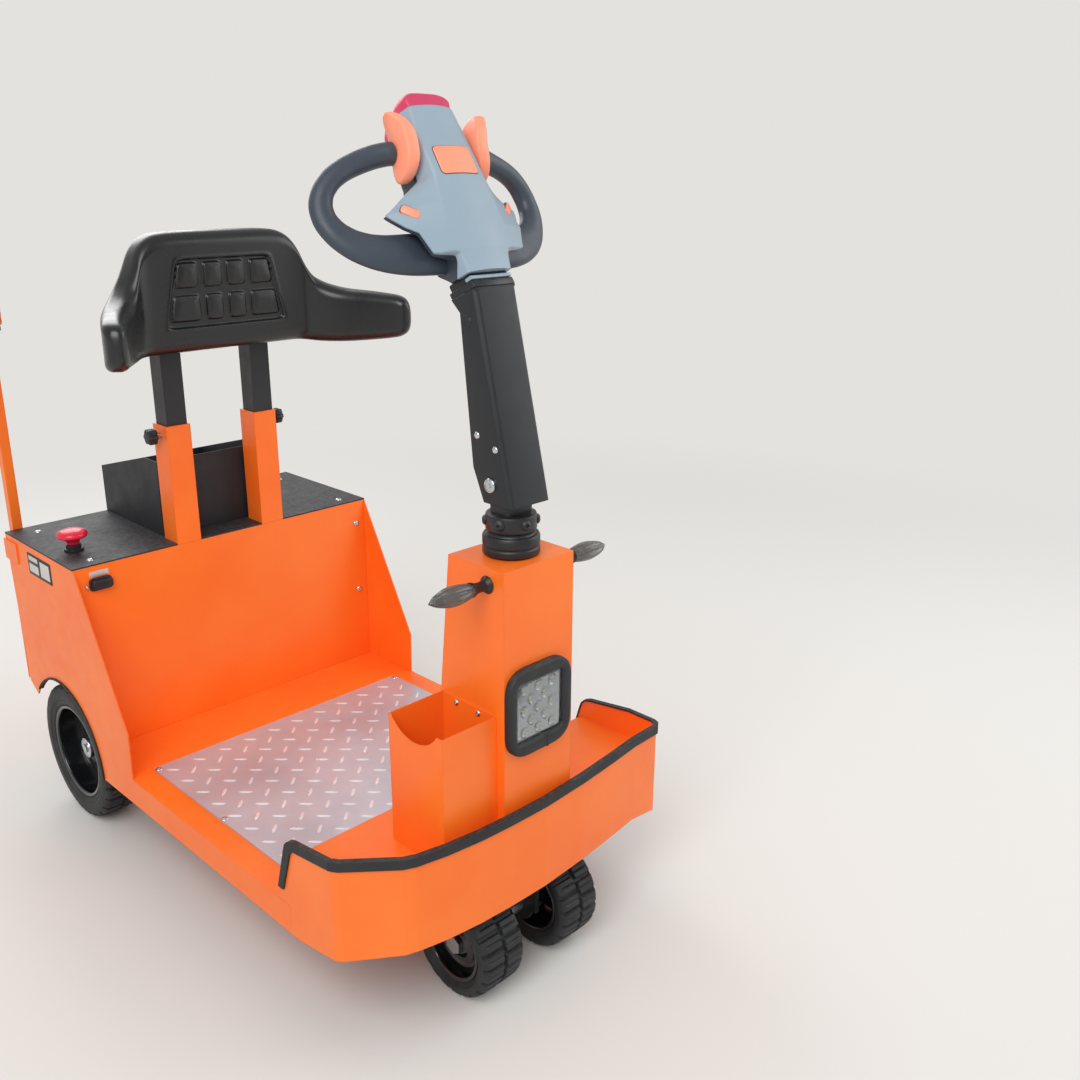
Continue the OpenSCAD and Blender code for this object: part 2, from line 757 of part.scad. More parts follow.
module tiller_head() {
    color(blue_grey) {
        on_head() {
            skin([for (row = head_rows) face_ring(row)]);
            // Body behind the face, wider beside the finger gaps, and its top that the hood covers
            intersection() {
                forward(head_back, head_back - face_back + 2) polygon([
                    [-neck_half_w, -120], [neck_half_w, -120], [neck_half_w, -32], [head_half_w, -10],
                    [head_half_w, hood_z - 0.5], [-head_half_w, hood_z - 0.5], [-head_half_w, -10], [-neck_half_w, -32]
                ]);
                across(-head_half_w - 1, head_half_w + 1) polygon([
                    [0, -121], [26, -121], [head_back, -98], [head_back + 1, 0], [head_back + 1, hood_z], [0, hood_z]
                ]);
            }
            forward(head_back - 14, head_back - 12 - face_back)
                translate([-hood_half_w, hood_z - 2]) square([2 * hood_half_w, head_top - hood_z + 2]);
        }
        // Neck that stands on the arm's closed top
        translate([0, steer_y, pivot_z]) across(-38, 38) polygon([
            arm_top[0] + [0.1, 0.3], arm_top[1] + [0.1, 0.3], [97, arm_len + 5], [50, arm_len + 34]
        ]);
    }
}

// Path of a handle loop: place across, back from the face and along the head, half height and half depth.
// A round bar above that widens into a blade below.
wheel_t = 22;
loop_rows = [
    [head_half_w + wheel_t + 2 * body_gap, 18, 82, 17, 17], [94, 26, 84, 17, 17], [114, 34, 82, 17, 17],
    [138, 40, 76, 16.5, 16.5], [166, 45, 66, 16, 16], [188, 52, 51, 16, 16], [201, 58, 33, 17, 16], [205, 60, 10, 18.5, 15.5],
    [200, 58, -12, 20.5, 15], [187, 53, -33, 23, 14.5], [167, 46, -50, 26, 14], [142, 40, -61, 28.5, 13.5],
    [116, 34, -67, 31, 13], [88, 30, -70, 33, 13], [neck_half_w + body_gap, 29, -71, 33, 13]
];
function loop_turn(k) = let (
    n = len(loop_rows) - 1,
    a = loop_rows[max(0, k - 1)],
    b = loop_rows[min(n, k + 1)]
) k == 0 ? 0 : k == n ? 180 : -atan2(b[2] - a[2], b[0] - a[0]);
function loop_ring(k) = let (c = loop_rows[k], turn = loop_turn(k)) [for (j = [0 : 15]) let (b = j * 22.5) [
    c[0] + c[3] * cos(b) * sin(turn),
    c[1] + c[4] * sin(b),
    c[2] + c[3] * cos(b) * cos(turn)
]];
module handle_loop() {
    skin([for (k = [0 : len(loop_rows) - 1]) loop_ring(k)]);
}
module handle_loops() {
    color(charcoal) on_head() both() handle_loop();
}

// Butterfly thumb wheel between the head and the loop's end: a long oval whose upper lobe comes forward
wheel_at = [-1, 82];
wheel_half = [25, 49];
wheel_turn = 10;
wheel_rows = [[0, 0.9], [0.12, 1], [0.75, 1], [0.92, 0.96], [1, 0.88]];
function wheel_point(row, a) = let (
    u = wheel_half[0] * row[1] * sin(a),
    v = wheel_half[1] * row[1] * cos(a)
) [
    head_half_w + body_gap + row[0] * wheel_t,
    wheel_at[0] + u * cos(wheel_turn) - v * sin(wheel_turn),
    wheel_at[1] + u * sin(wheel_turn) + v * cos(wheel_turn)
];
module thumb_wheels() {
    color(peach) on_head() both() skin([for (row = wheel_rows) [for (j = [0 : 23]) wheel_point(row, j * 15)]]);
}

// Hood over the head's top, bowed across and rounded at its back
module top_button() {
    side = [[head_half_w - 0.3, hood_z], [head_half_w - 0.3, 130], [52, 145], [42, 157], [27, 166], [10, 171]];
    color(crimson) on_head() difference() {
        intersection() {
            forward(head_back, 80) polygon(concat(side, [for (k = [len(side) - 1 : -1 : 0]) [-side[k][0], side[k][1]]]));
            across(-80, 80) polygon([
                [-9, hood_z - 10], [-9, 162], [-4, 168], [12, 172], [32, 168], [46, 158], [head_back, 142], [head_back, hood_z - 10]
            ]);
            // Narrower in front, where it stays inside the face
            translate([0, 0, hood_z - 10]) linear_extrude(80) polygon([
                [-hood_half_w - 1.5, -10], [hood_half_w + 1.5, -10], [head_half_w, 24], [head_half_w, 60],
                [-head_half_w, 60], [-head_half_w, 24]
            ]);
        }
        span([-hood_half_w - body_gap, -40, hood_z - 10],
             [hood_half_w + body_gap, head_back - 14 + body_gap, head_top + body_gap]);
    }
}

/* Backrest */

module backrest_tubes() {
    tube_low_z = 700;
    tube_top_z = pad_z + 120;
    color(black) {
        both() difference() {
            span([post_x - tube_w / 2, tube_y - tube_w / 2, tube_low_z],
                 [post_x + tube_w / 2, tube_y + tube_w / 2, tube_top_z]);
            span([post_x - tube_w / 2 + sheet, tube_y - tube_w / 2 + sheet, tube_low_z - 1],
                 [post_x + tube_w / 2 - sheet, tube_y + tube_w / 2 - sheet, tube_top_z - sheet]);
        }
        span([-post_x + tube_w / 2, tube_y - tube_w / 2, pad_z + 40], [post_x - tube_w / 2, tube_y - tube_w / 2 + 5, pad_z + 90]);
    }
}

// Pad stations from the middle out: place across, middle of its depth, thickness, lower and upper edge
pad_rows = [
    [0, -31.3, 62, 0, 229], [106, -31.3, 62, 0, 229], [144, -31.5, 62, 0, 223], [169, -34, 60, 0, 203],
    [189, -42, 58, -2, 158], [214, -60, 56, -6, 120], [246, -100, 52, -6, 104], [276, -154, 48, 0, 101],
    [303, -208, 44, 8, 96], [314, -231, 30, 22, 84]
];
function pad_ring(row, s) = let (
    back_y = tube_y - tube_w / 2,
    turn = row[0] < 180 ? 0 : min(52, (row[0] - 180) * 0.9),
    mid = (row[3] + row[4]) / 2,
    half_h = (row[4] - row[3]) / 2
) [for (k = [0 : 15]) let (b = k * 22.5, d = row[2] / 2 * soft(sin(b), 0.6)) [
    s * (row[0] + d * sin(turn)),
    back_y + row[1] + d * cos(turn),
    pad_z + mid + half_h * soft(cos(b), 0.6)
]];
module backrest_pad() {
    right = [for (k = [len(pad_rows) - 1 : -1 : 1]) pad_ring(pad_rows[k], -1)];
    left = [for (k = [0 : len(pad_rows) - 1]) pad_ring(pad_rows[k], 1)];
    color(black) skin(concat(right, left));
}

frame_rails();
deck_pan();
front_apron();
apron_trim();
tread_plate();
side_panels();
front_panel();
post_sleeves();
rear_panel();
battery_lid();
storage_bin();
arch_trims();
battery_block();
drive_axle();
drive_motor();
tow_hitch();
emergency_stop();
charge_socket();
beacon_pole();
beacon();
steering_column();
head_tube();
side_pocket();
headlight_bezel();
headlight();
turn_signals();
clamp_knobs();
steering_shaft();
steering_boss();
front_fork();
front_axle();
front_tyres();
front_rims();
mirror([1, 0, 0]) rear_tyre();  // rear_tyre_right
mirror([1, 0, 0]) rear_rim();  // rear_rim_right
rear_tyre();  // rear_tyre_left
rear_rim();  // rear_rim_left
tiller_arm();
tiller_head();
handle_loops();
thumb_wheels();
top_button();
backrest_tubes();
backrest_pad();
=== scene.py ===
"""Looks of a compact stand-on electric tow tractor with tiller steering.

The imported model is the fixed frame. Finishes go on its nodes, and detailed pieces stand on it or
take the place of a node. Sizes are in millimetres until a mesh is made. The front points to -Y,
the left side to +X and up is +Z.
"""

import logging
import math
from dataclasses import dataclass
from enum import Enum
from typing import Iterable, Sequence

import bmesh
import bpy
import numpy as np
from mathutils import Matrix, Vector


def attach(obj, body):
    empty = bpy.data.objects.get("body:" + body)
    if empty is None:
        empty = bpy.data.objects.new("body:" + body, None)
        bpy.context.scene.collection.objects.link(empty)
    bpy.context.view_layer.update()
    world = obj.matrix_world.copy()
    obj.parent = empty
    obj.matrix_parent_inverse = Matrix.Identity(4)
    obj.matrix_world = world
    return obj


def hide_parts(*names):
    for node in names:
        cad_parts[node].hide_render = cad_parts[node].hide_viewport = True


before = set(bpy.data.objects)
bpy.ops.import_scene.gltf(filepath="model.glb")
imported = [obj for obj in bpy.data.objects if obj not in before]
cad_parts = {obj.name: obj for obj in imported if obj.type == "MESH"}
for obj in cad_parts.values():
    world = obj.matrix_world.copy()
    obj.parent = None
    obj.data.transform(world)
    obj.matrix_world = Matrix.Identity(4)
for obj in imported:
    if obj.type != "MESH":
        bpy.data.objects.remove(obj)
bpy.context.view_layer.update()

MM = 0.001
Array = np.ndarray
Point = tuple[float, float, float]
Rows = Sequence[Sequence[float]]
Pane = tuple[tuple[float, float], tuple[float, float], float, float]
Tree = bpy.types.NodeTree
Socket = bpy.types.NodeSocket
log = logging.getLogger("tow_tractor")


class Side(Enum):
    """A side of the machine, as the sign of X."""

    RIGHT = -1
    LEFT = 1


class Grain(Enum):
    """What the surface is covered with when it is looked at from close by."""

    ORANGE_PEEL = "orange peel"
    SAND = "sand"
    LEATHER = "leather"
    BRUSHED = "brushed"
    CAST = "cast"
    CLEAN = "clean"


# Finishes


def linear(code: str) -> tuple[float, float, float, float]:
    """Turns an sRGB hex colour into the linear colour that a shader takes.

    Args:
        code: colour such as "#FF6A1A".

    Returns:
        Red, green, blue and 1.
    """
    parts = np.array([int(code[k : k + 2], 16) / 255 for k in (1, 3, 5)])
    low, high = parts / 12.92, ((parts + 0.055) / 1.055) ** 2.4
    return (*np.where(parts <= 0.04045, low, high).tolist(), 1.0)


def node(tree: Tree, kind: str, settings: dict | None = None, links: dict | None = None) -> bpy.types.Node:
    """Adds a shader node.

    Args:
        tree: node tree that gets it.
        kind: Blender's name of the node type.
        settings: lower case keys come first and are the node's properties, others name or number an input.
        links: input name or number, and the output socket that feeds it.

    Returns:
        The new node.
    """
    made = tree.nodes.new(kind)
    for key, value in (settings or {}).items():
        if isinstance(key, str) and key[0].islower():
            setattr(made, key, value)
        else:
            made.inputs[key].default_value = value
    for key, socket in (links or {}).items():
        tree.links.new(socket, made.inputs[key])
    return made


def cleared(owner: bpy.types.Material | bpy.types.World) -> Tree:
    """Emptied node tree of a material or a world."""
    owner.use_nodes = True
    owner.node_tree.nodes.clear()
    return owner.node_tree


def noise(tree: Tree, place: Socket, size_mm: float, detail: float, **more: float) -> Socket:
    """Noise from 0 to 1 whose patches have a given size."""
    settings = {"Scale": 1 / (size_mm * MM), "Detail": detail, **more}
    return node(tree, "ShaderNodeTexNoise", settings, {"Vector": place}).outputs["Fac"]


def ranged(tree: Tree, value: Socket, low: float, high: float, start: float = 0.0, end: float = 1.0) -> Socket:
    """Carries a value over, so that low to high becomes start to end."""
    return node(tree, "ShaderNodeMapRange", {1: low, 2: high, 3: start, 4: end}, {"Value": value}).outputs["Result"]


@dataclass(frozen=True)
class Finish:
    """A material and how its surface was made.

    colour and shade are the two ends of the slow colour drift over the surface, patch_mm its size.
    rough is the roughness, which strays by drift in smears of the size smear_mm.
    grain_mm is the real size of the surface grain and grain_deep its height in millimetres.
    dust is how much pale dust lies on faces that look up, in flecks of the size fleck_mm.
    fold_mm is the radius of softened edges. coat is clear lacquer on top, and clear the share of light let through.
    """

    name: str
    colour: str
    shade: str
    rough: float
    grain: Grain = Grain.CLEAN
    grain_mm: float = 1.5
    grain_deep: float = 0.05
    drift: float = 0.06
    metallic: float = 0.0
    ior: float = 1.5
    patch_mm: float = 180.0
    smear_mm: float = 35.0
    dust: float = 0.0
    dust_colour: str = "#B9B0A4"
    fleck_mm: float = 9.0
    coat: float = 0.0
    coat_rough: float = 0.1
    clear: float = 0.0
    fold_mm: float = 0.0

    def material(self) -> bpy.types.Material:
        """Makes the material once and gives the same one after that."""
        known = bpy.data.materials.get(self.name)
        if known is not None and known.get("finish"):
            return known
        made = bpy.data.materials.new(self.name)
        made["finish"] = True
        tree = cleared(made)
        place = node(tree, "ShaderNodeTexCoord").outputs["Object"]
        feeds = {"Base Color": self._colour(tree, place), "Roughness": self._roughness(tree, place)}
        bump = self._bump(tree, place)
        if bump is not None:
            feeds["Normal"] = bump
        shader = node(tree, "ShaderNodeBsdfPrincipled", {
            "IOR": self.ior, "Metallic": self.metallic, "Coat Weight": self.coat,
            "Coat Roughness": self.coat_rough, "Transmission Weight": self.clear,
        }, feeds)
        node(tree, "ShaderNodeOutputMaterial", links={"Surface": shader.outputs["BSDF"]})
        return made

    def _colour(self, tree: Tree, place: Socket) -> Socket:
        """Drifts slowly between the two colours, and lays dust on faces that look up."""
        patch = ranged(tree, noise(tree, place, self.patch_mm, 5.0), 0.35, 0.65)
        ends = {"data_type": "RGBA", 6: linear(self.colour), 7: linear(self.shade)}
        mixed = node(tree, "ShaderNodeMix", ends, {0: patch}).outputs[2]
        if not self.dust:
            return mixed
        up = node(tree, "ShaderNodeSeparateXYZ", links={0: node(tree, "ShaderNodeNewGeometry").outputs["Normal"]})
        flat = ranged(tree, up.outputs["Z"], 0.3, 1.0, 0.0, self.dust)
        fleck = ranged(tree, noise(tree, place, self.fleck_mm, 8.0, Roughness=0.7), 0.4, 0.75)
        amount = node(tree, "ShaderNodeMath", {"operation": "MULTIPLY"}, {0: flat, 1: fleck}).outputs[0]
        dust = {"data_type": "RGBA", 7: linear(self.dust_colour)}
        return node(tree, "ShaderNodeMix", dust, {0: amount, 6: mixed}).outputs[2]

    def _roughness(self, tree: Tree, place: Socket) -> Socket:
        """Varies the roughness about its value in smears of a few centimetres."""
        smear = noise(tree, place, self.smear_mm, 6.0, Distortion=0.6)
        return ranged(tree, smear, 0.3, 0.7, max(self.rough - self.drift, 0.02), self.rough + self.drift)

    def _bump(self, tree: Tree, place: Socket) -> Socket | None:
        """Raises the grain, over folds that are softened to their real radius."""
        under = {}
        if self.fold_mm:
            fold = {"samples": 4, "Radius": self.fold_mm * MM}
            under["Normal"] = node(tree, "ShaderNodeBevel", fold).outputs["Normal"]
        if self.grain is Grain.CLEAN:
            return under.get("Normal")
        if self.grain in (Grain.LEATHER, Grain.CAST):
            cells = {"feature": "SMOOTH_F1", "Scale": 1 / (self.grain_mm * MM), "Smoothness": 0.6}
            height = node(tree, "ShaderNodeTexVoronoi", cells, {"Vector": place}).outputs["Distance"]
        elif self.grain is Grain.BRUSHED:
            drawn = node(tree, "ShaderNodeMapping", {"Scale": (0.04, 1.0, 1.0)}, {"Vector": place})
            height = noise(tree, drawn.outputs["Vector"], self.grain_mm, 3.0)
        else:
            height = noise(tree, place, self.grain_mm, 2.0 if self.grain is Grain.ORANGE_PEEL else 6.0)
        depth = {"Strength": 1.0, "Distance": self.grain_deep * MM}
        return node(tree, "ShaderNodeBump", depth, {"Height": height, **under}).outputs["Normal"]


# Polyester powder coat, sprayed and baked: a warm orange with a soft gloss and a faint orange peel
POWDER_ORANGE = Finish("powder_coat_orange", "#FF7A22", "#FC7019", 0.36, Grain.ORANGE_PEEL, 2.6, 0.05, dust=0.06,
                       fold_mm=2.4, dust_colour="#FFB58A")
# Textured powder coat on steel: nearly black, a sandy grit that kills the gloss
POWDER_BLACK = Finish("powder_coat_black_textured", "#1B1D22", "#23262C", 0.56, Grain.SAND, 1.1, 0.22, dust=0.16,
                      fold_mm=1.2)
# Chassis enamel, brushed on: black, half gloss, a little dusty
CHASSIS_ENAMEL = Finish("chassis_enamel_black", "#16171A", "#202226", 0.45, Grain.ORANGE_PEEL, 3.0, 0.08, dust=0.3,
                        fold_mm=1.0)
# Textured paint on folded steel: charcoal with a soft sheen, for the tiller arm
ARM_PAINT = Finish("textured_paint_charcoal", "#191C21", "#14171B", 0.42, Grain.SAND, 1.3, 0.08, dust=0.08,
                   fold_mm=2.6)
# Extruded rubber edge trim: matt black with a greyish bloom
EDGE_RUBBER = Finish("extruded_rubber_black", "#1C1D20", "#26282B", 0.62, Grain.SAND, 1.6, 0.1, dust=0.12,
                     fold_mm=1.5)
# Rolled aluminium plate: silvery with a faint rosy reflection and fine rolling marks
TREAD_ALUMINIUM = Finish("rolled_aluminium", "#D0D4DE", "#C0C3CE", 0.42, Grain.BRUSHED, 1.2, 0.04, drift=0.1,
                         metallic=0.5, dust=0.35, dust_colour="#C9C2C2")
# Pressed lugs of the same plate, near white: partly rubbed bright by shoes, partly a painted highlight along their
# ridges
LUG_ALUMINIUM_RUBBED_AND_HIGHLIGHT = Finish("rubbed_aluminium_and_painted_highlight", "#F7F6F8", "#EAE9EC", 0.3, Grain.SAND, 1.5, 0.03, metallic=0.45)
# Zinc plated steel: bright, faintly blue, slightly uneven
ZINC = Finish("zinc_plated_steel", "#D5D8DC", "#BDC1C6", 0.24, Grain.SAND, 1.5, 0.03, metallic=1.0)
# Cast iron under black paint: the boss, with a pebbled skin
CAST_BLACK = Finish("painted_cast_iron", "#141518", "#1D1F22", 0.38, Grain.CAST, 2.4, 0.12, dust=0.1)
# Moulded natural rubber of the tyres: black gone grey on the wearing faces
TYRE_RUBBER = Finish("moulded_tyre_rubber", "#17181A", "#26282A", 0.6, Grain.SAND, 1.6, 0.12, dust=0.22,
                     dust_colour="#6E6C6A", patch_mm=60)
# Stove enamelled steel rims: deep black gloss
RIM_ENAMEL = Finish("stove_enamel_black", "#0D0E10", "#131416", 0.2, Grain.ORANGE_PEEL, 4, 0.06, drift=0.05, coat=0.4)
# Moulded ABS, light blue grey with a fine spark-eroded texture: the tiller head
HEAD_ABS = Finish("moulded_abs_blue_grey", "#95A8B6", "#8DA0AE", 0.46, Grain.SAND, 1.0, 0.05, dust=0.05)
# Soft-touch plastic of the handle loops: dark blue grey, satin
GRIP_PLASTIC = Finish("soft_touch_plastic_grey", "#3A4450", "#333C47", 0.44, Grain.SAND, 1.1, 0.05, dust=0.04)
# Moulded polypropylene controls, peach orange
PEACH_PLASTIC = Finish("moulded_plastic_peach", "#FF9E7E", "#FF9170", 0.38, Grain.SAND, 1.4, 0.04)
# Moulded ABS of the reversing button: crimson, satin
CRIMSON_PLASTIC = Finish("moulded_abs_crimson", "#D03A63", "#C43058", 0.4, coat=0.05)
# Moulded polycarbonate of the stop button: signal red, shiny
SIGNAL_RED = Finish("moulded_plastic_red", "#E2193C", "#D41535", 0.26, coat=0.25)
# Moulded nylon of knobs, socket and lamp bodies: black, satin
NYLON_BLACK = Finish("moulded_nylon_black", "#15161A", "#1D1F23", 0.4, Grain.SAND, 1.2, 0.06)
# Integral-skin polyurethane of the pad: black leather grain with a cool, waxy shine
PAD_SKIN = Finish("integral_skin_foam_black", "#0C0D0F", "#111215", 0.32, Grain.LEATHER, 1.5, 0.07, drift=0.08,
                  coat=0.22, coat_rough=0.25)
# Vacuum metallised reflector: mirror bright
REFLECTOR = Finish("metallised_reflector", "#B4B7BA", "#A2A5A9", 0.14, drift=0.04, metallic=1.0)
# Moulded acrylic of the lamp's cover: clear, with a very faint grey
CLEAR_ACRYLIC = Finish("clear_acrylic", "#F4F6F6", "#EDF0F0", 0.05, drift=0.02, ior=1.49, clear=1.0)
# Moulded acrylic of the indicators: smoke grey, half clear
SMOKE_ACRYLIC = Finish("smoke_acrylic", "#85827E", "#6F6C68", 0.08, drift=0.04, ior=1.49, clear=0.6)
# Moulded polycarbonate of the beacon's lens: amber, translucent
AMBER_LENS = Finish("amber_polycarbonate", "#FF7A10", "#FF6A08", 0.16, drift=0.05, ior=1.58, clear=0.35, coat=0.3)
# Anodised label stock, left blank: pale silver, satin
LABEL_SILVER = Finish("anodised_label", "#D9D5D0", "#CFCBC6", 0.4, metallic=0.3)
# Printed ground of the data plate: black, half matt
LABEL_BLACK = Finish("printed_label_ground", "#1A1B1E", "#222327", 0.45)
# Hard rubber of the battery case: dark grey, dusty
BATTERY_CASE = Finish("moulded_battery_case", "#2B2E33", "#33363B", 0.5, Grain.SAND, 2, 0.1, dust=0.3)
# Turned steel of shaft and axles: bright, with fine tool marks
TURNED_STEEL = Finish("turned_steel", "#B4B7BB", "#9A9DA2", 0.3, Grain.BRUSHED, 0.8, 0.02, metallic=1.0)
# Phosphor of the light sources under the lamp's cover: pale yellow, matt
LED_PHOSPHOR = Finish("led_phosphor", "#ECE2C0", "#E2D7B2", 0.4)


# Surfaces


@dataclass
class Surface:
    """Points in millimetres, and faces as lists of point numbers."""

    points: Array
    faces: list[list[int]]

    def flipped(self) -> "Surface":
        """The surface with its faces turned round."""
        return Surface(self.points, [face[::-1] for face in self.faces])

    def mirrored(self) -> "Surface":
        """The same surface on the other side, with its faces turned to keep pointing outwards."""
        return Surface(self.points * (-1, 1, 1), self.faces).flipped()

    def paired(self) -> "Surface":
        """The surface and its mirror image, as one."""
        return joined([self, self.mirrored()])

    def on(self, side: Side) -> "Surface":
        """The surface as drawn for the left side, or its mirror image for the right."""
        return self if side is Side.LEFT else self.mirrored()


@dataclass(frozen=True)
class Placing:
    """A place and three directions, for a shape that is drawn flat: across, up and out of the surface.

    Without directions the shape faces the front.
    """

    origin: Point
    across: Point = (1, 0, 0)
    up: Point = (0, 0, 1)
    out: Point = (0, -1, 0)

    def put(self, flat: Array) -> Array:
        """Place of flat points: origin plus each coordinate times its direction."""
        return np.asarray(self.origin, float) + flat @ np.array([self.across, self.up, self.out], float)


def facing_up(x: float, y: float, z: float) -> Placing:
    """A place for a shape that faces upwards."""
    return Placing((x, y, z), (1, 0, 0), (0, 1, 0), (0, 0, 1))


def facing_side(x: float, y: float, z: float, side: Side = Side.LEFT) -> Placing:
    """A place for a shape that faces a side, with x counted from the middle towards that side."""
    return Placing((side.value * x, y, z), (0, side.value, 0), (0, 0, 1), (side.value, 0, 0))


def joined(surfaces: Iterable[Surface]) -> Surface:
    """Several surfaces as one, with the point numbers moved on."""
    parts = list(surfaces)
    starts = np.cumsum([0] + [len(part.points) for part in parts[:-1]])
    faces = [[k + int(start) for k in face] for part, start in zip(parts, starts) for face in part.faces]
    return Surface(np.concatenate([part.points for part in parts]), faces)


def around(count: int) -> Array:
    """Angles at even steps round a full turn."""
    return np.arange(count) * 2 * math.pi / count


def raised(rings: Array, heights: Sequence[float]) -> Array:
    """Flat rings with the height of each as their third coordinate."""
    high = np.asarray(heights, float)[:, None, None]
    return np.concatenate([rings, np.broadcast_to(high, (*rings.shape[:2], 1))], -1)


def woven(points: Array, close_rows: bool = False, close_cols: bool = True, caps: bool = True) -> Surface:
    """Faces between the points of a grid.

    Args:
        points: array of rows, columns and three coordinates.
        close_rows: joins the last row to the first.
        close_cols: joins the last point of each row to its first.
        caps: closes the first and last row with one face each.

    Returns:
        The surface: the face at row i and column j joins points (i, j), (i, j+1), (i+1, j+1), (i+1, j).
    """
    rows, cols = points.shape[:2]
    i = np.arange(rows if close_rows else rows - 1)[:, None]
    j = np.arange(cols if close_cols else cols - 1)[None, :]
    below, beside = (i + 1) % rows, (j + 1) % cols
    quads = np.stack([i * cols + j, i * cols + beside, below * cols + beside, below * cols + j], -1)
    faces = quads.reshape(-1, 4).tolist()
    if caps and close_cols and not close_rows:
        faces += [list(range(cols - 1, -1, -1)), list(range((rows - 1) * cols, rows * cols))]
    return Surface(points.reshape(-1, 3), faces)


def softened(corners: Array | Rows, radius: float | Array, steps: int = 4) -> Array:
    """Rounds the corners of closed outlines.

    Each corner P becomes the curve (1-t)^2 A + 2t(1-t) P + t^2 B, where A and B lie on the two sides
    at the radius from P, or at 0.48 of a shorter side.

    Args:
        corners: outlines of shape (..., corners, coordinates).
        radius: distance from the corner where the curve starts, one value or one for each corner.
        steps: points on each curve.

    Returns:
        Outlines of shape (..., corners * steps, coordinates).
    """
    corners = np.asarray(corners, float)
    back, ahead = np.roll(corners, 1, -2) - corners, np.roll(corners, -1, -2) - corners
    reach = np.broadcast_to(np.asarray(radius, float), corners.shape[:-1])[..., None]

    def start(side: Array) -> Array:
        """Where the curve meets the side that leaves the corner."""
        length = np.maximum(np.linalg.norm(side, axis=-1, keepdims=True), 1e-9)
        return corners + side / length * np.minimum(reach, 0.48 * length)

    t = np.linspace(0, 1, steps)[:, None]
    a, p, b = start(back)[..., None, :], corners[..., None, :], start(ahead)[..., None, :]
    curve = (1 - t) ** 2 * a + 2 * t * (1 - t) * p + t**2 * b
    return curve.reshape(*corners.shape[:-2], -1, corners.shape[-1])


def turned(section: Array | Rows, place: Placing, count: int = 32, wave: Array | float = 0.0,
           closed: bool = False) -> Surface:
    """A section carried round the out direction.

    The point at angle a is r cos a across, r sin a up and h out, where r and h are the section's
    columns and the wave is added to r.

    Args:
        section: rows of radius and height.
        place: where the axis starts, and its direction as out.
        count: points round.
        wave: what is added to the radius, of shape (section rows, count) or one value.
        closed: joins the section's last point to its first.

    Returns:
        The surface, open at both ends of the section unless it is closed or ends on the axis.
    """
    radius, height = np.asarray(section, float).T[..., None]
    reach, angle = radius + wave, around(count)
    flat = np.stack(np.broadcast_arrays(reach * np.cos(angle), reach * np.sin(angle), height), -1)
    return woven(place.put(flat), close_rows=closed, caps=False)


def pillow(outline: Array, place: Placing, low: float, high: float, edge: float = 1.5, steps: int = 3,
           crown: float = 0.0) -> Surface:
    """A plate with a rounded upper edge.

    The outline stands from low to high less the edge, then draws in towards its middle by
    edge (1 - cos a) while it rises by edge sin a, and closes with a face that stands a crown higher.

    Args:
        outline: flat points round the plate, counter-clockwise when looked at from outside.
        place: plane it lies in.
        low: height of its foot.
        high: height of its top.
        edge: radius of the upper edge.
        steps: rings on that edge.
        crown: how much higher the middle of the top is.

    Returns:
        The closed surface.
    """
    middle = outline.mean(0)
    reach = np.linalg.norm(outline - middle, axis=1).mean()
    a = np.linspace(0, math.pi / 2, steps + 1)
    draw = np.concatenate([[0.0], edge * (1 - np.cos(a))]) / reach
    height = np.concatenate([[low], high - edge + edge * np.sin(a)])
    if crown:
        draw, height = np.append(draw, [0.45, 0.8]), np.append(height, [high + crown * 0.8, high + crown])
    rings = middle + (outline - middle) * (1 - draw[:, None, None])
    return woven(place.put(raised(rings, height)))


def rounded_box_outline(width: float, height: float, radius: float, steps: int = 5) -> Array:
    """Rectangle about the middle with rounded corners, counter-clockwise."""
    corners = np.array([(-1, -1), (1, -1), (1, 1), (-1, 1)]) * (width / 2, height / 2)
    return softened(corners, radius, steps)


def finer(outline: Array, steps: int = 4) -> Array:
    """Adds points at even shares of the straight lines between an outline's neighbouring points."""
    t = np.arange(steps)[:, None] / steps
    return (outline[:, None] * (1 - t) + np.roll(outline, -1, 0)[:, None] * t).reshape(-1, 2)


def screw(place: Placing, size: float, high: float) -> Surface:
    """A button head: its section rises as part of an ellipse round a hexagon socket, twelve points round."""
    reach = 1.05
    rise = np.linspace(0, reach, 4)
    dome = np.stack([size * np.cos(rise), high * np.sin(rise) / math.sin(reach)], 1)
    socket = [(size * 0.32, high * 1.02), (size * 0.3, high * 0.45), (0, high * 0.4)]
    return turned(np.concatenate([dome, socket]), place, 12)


def between(value: Array, low: float, high: float) -> Array:
    """Smooth step: 0 below low, 1 above high, and 3t^2 - 2t^3 between."""
    t = np.clip((value - low) / (high - low), 0, 1)
    return t * t * (3 - 2 * t)


def eased(table: Array | Rows, stations: Array, width: float) -> Array:
    """Columns of a table at new stations, averaged over a window so that its corners come out round.

    Args:
        table: rows whose first column is the station, in rising order.
        stations: where the columns are wanted.
        width: width of the window, as long as the corners should be.

    Returns:
        Array of stations and columns, the station itself not among them.
    """
    rows = np.asarray(table, float)
    window = np.linspace(-0.5, 0.5, 9) * width
    at = np.clip(stations[:, None] + window, rows[0, 0], rows[-1, 0])
    return np.stack([np.interp(at, rows[:, 0], rows[:, k]).mean(1) for k in range(1, rows.shape[1])], 1)


